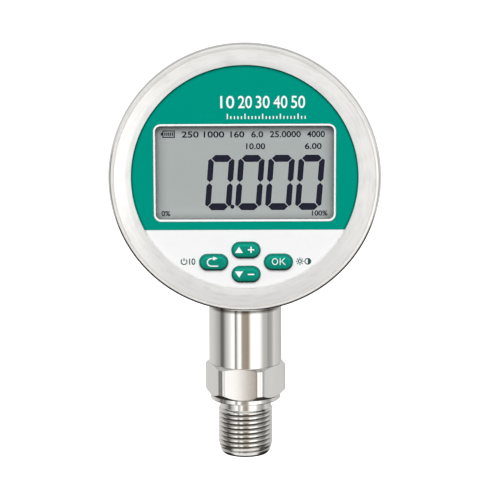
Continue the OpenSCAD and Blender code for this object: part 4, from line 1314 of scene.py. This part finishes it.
class GAUGE_OT_stage(GaugePiece, bpy.types.Operator):
    """Sets the pale floor, the soft studio light and the camera"""
    bl_idname = "gauge.stage"
    bl_label = "Stage"

    def execute(self, context):
        s = sizes("stage")
        scene = context.scene
        scene.view_settings.view_transform = "Standard"
        self.floor()
        self.softbox(s.softbox)
        self.room(scene, s.room)
        target = on_face(0, 0, FACE_FRONT)
        back = Vector((0, -math.cos(s.elevation), math.sin(s.elevation)))
        data = bpy.data.cameras.new("camera")
        data.lens, data.sensor_width = s.lens, 36
        data.clip_start, data.clip_end = 0.05, 20
        camera = put("camera", data)
        camera.location = target + back * s.distance + Vector((s.aside, 0, 0))
        camera.rotation_euler = (math.radians(90) - s.pitch, s.roll, 0)
        scene.camera = camera
        return {"FINISHED"}

    @staticmethod
    def floor():
        half = 4.0
        mesh = bpy.data.meshes.new("floor")
        mesh.from_pydata([(-half, -half, 0), (half, -half, 0), (half, half, 0),
                          (-half, half, 0)], [], [(0, 1, 2, 3)])
        floor = put("floor", mesh)
        floor.location.z = -0.05 * MM
        finish = Finish("floor_paint", (0.97, 0.97, 0.97), roughness=1.0,
                        specular_ior_level=0.0)
        finish.tone(finish.noise(3, detail=2) - 0.4, 0.01)
        finish.shader.inputs["Emission Color"].default_value = (1, 1, 1, 1)
        finish.shader.inputs["Emission Strength"].default_value = 0.9
        mesh.materials.append(finish.material)
        floor.visible_glossy = floor.visible_diffuse = False

    @staticmethod
    def softbox(power):
        width, height, place = 1.5, 0.9, (0, -1.2, 0.95)
        data = bpy.data.lights.new("softbox", "AREA")
        data.shape, data.size, data.size_y, data.energy = "RECTANGLE", width, height, power
        lamp = put("softbox", data)
        lamp.location = place
        aim = on_face(0, 0, FACE_FRONT) - lamp.location
        lamp.rotation_euler = aim.to_track_quat("-Z", "Y").to_euler()
        lamp.visible_glossy = False

    # What bright metal mirrors, as (degrees, brightness): lamps lie round the stem from
    # the camera's side, arch from level in front over the top (90) or under the foot (-90)
    lamps = ((-180, 0.75), (-120, 0.68), (-100, 0.5), (-88, 0.38), (-84, 0.14), (-74, 0.16),
             (-66, 0.5), (-52, 0.85), (-44, 1.2), (-35, 1.35), (-33, 0.25), (-29, 0.25),
             (-26, 0.75), (-21, 1.25), (-14, 1.25), (-11, 0.42), (10, 0.36), (15, 0.9),
             (19, 1.35), (42, 1.45), (52, 0.95), (60, 0.56), (72, 0.54), (77, 0.36), (92, 0.44),
             (103, 0.74), (118, 0.66), (150, 0.52), (180, 0.6))
    arch = ((-180, 0.2), (-165, 0.08), (-140, 0.03), (-92, 0.03), (-77, 0.05), (-67, 0.85),
            (-60, 1.08), (-48, 0.86), (-20, 1.1), (0, 1.1), (27, 0.58), (40, 0.95),
            (55, 0.9), (76, 0.85), (90, 0.5), (145, 0.5), (160, 0.7), (180, 0.6))

    def room(self, scene, light):
        world = bpy.data.worlds.new("studio")
        scene.world = world
        world.use_nodes = True
        sheet = Sheet(world.node_tree)
        world.node_tree.nodes.clear()
        ray = sheet.add("ShaderNodeLightPath")
        x, y, z = sheet.parts(sheet.add("ShaderNodeTexCoord")["Generated"])

        def ramp(table, turn):
            stops = [((angle + 180) / 360, value) for angle, value in table]
            return sheet.add("ShaderNodeValToRGB", {"stops": stops}, {0: turn})["Color"]

        round_stem = x.math("ARCTAN2", y * -1) / TURN + 0.5
        over_top = z.math("ARCTAN2", y * -1) / TURN + 0.5
        warm_middle, warm_half, plain_from = 0.505, 0.02, 0.05
        from_middle = (round_stem - warm_middle).math("ABSOLUTE")
        warm = sheet.mix((1 - from_middle.step(warm_half, plain_from)) * 0.9,
                         (1.0, 0.99, 0.975), (1.0, 0.83, 0.68))
        below_behind = (z * -3).limit() * (y * 4 + 0.3).limit()
        under = sheet.mix(below_behind, (1.0, 0.995, 0.985), (1.0, 0.85, 0.7))
        below_level, level, steep = 0.135, 0.13, 0.2
        height = z.math("ARCSINE") / (math.pi / 2)
        near = 1 - (height + below_level).math("ABSOLUTE").step(level, steep)
        multiply = {"data_type": "RGBA", "blend_type": "MULTIPLY"}
        cards = sheet.add("ShaderNodeMix", multiply,
                          {0: 1.0, 6: ramp(self.lamps, round_stem), 7: warm})
        sky = sheet.add("ShaderNodeMix", multiply,
                        {0: 1.0, 6: ramp(self.arch, over_top), 7: under})
        studio = sheet.mix(near, sky, cards)
        front = (y * -1).limit()
        even = (front * front * 1.5 + 0.3) * (z * 0.75 + 1) * light  # for matt surfaces
        seen = sheet.mix(ray["Is Camera Ray"], even, (1.0, 1.0, 1.0))
        shown = sheet.mix(ray["Is Glossy Ray"], seen, studio)
        back = sheet.add("ShaderNodeBackground", None, {"Color": shown, "Strength": 1.0})
        sheet.add("ShaderNodeOutputWorld", None, {"Surface": back})


PIECES = (GAUGE_OT_finishes, GAUGE_OT_bezel, GAUGE_OT_window, GAUGE_OT_display,
          GAUGE_OT_prints, GAUGE_OT_keys, GAUGE_OT_fitting, GAUGE_OT_cover_screws,
          GAUGE_OT_stage)


class GAUGE_PT_pieces(bpy.types.Panel):
    """Lists the gauge's pieces and sizes"""
    bl_idname = "GAUGE_PT_pieces"
    bl_label = "Pressure gauge"
    bl_space_type = "VIEW_3D"
    bl_region_type = "UI"
    bl_category = "Gauge"

    def draw(self, context):
        for piece in PIECES:
            self.layout.operator(piece.bl_idname)
        for name, group in SIZES.items():
            box = self.layout.box()
            box.label(text=name.capitalize())
            for prop in group.__annotations__:
                box.prop(sizes(name), prop)


def register():
    for name, group in SIZES.items():
        bpy.utils.register_class(group)
        setattr(bpy.types.Scene, "gauge_" + name, PointerProperty(type=group))
    for item in (*PIECES, GAUGE_PT_pieces):
        bpy.utils.register_class(item)


def unregister():
    for item in (GAUGE_PT_pieces, *reversed(PIECES)):
        bpy.utils.unregister_class(item)
    for name, group in SIZES.items():
        delattr(bpy.types.Scene, "gauge_" + name)
        bpy.utils.unregister_class(group)


def main():
    register()
    for piece in PIECES:
        family, action = piece.bl_idname.split(".")
        getattr(getattr(bpy.ops, family), action)()


if __name__ == "__main__":
    main()
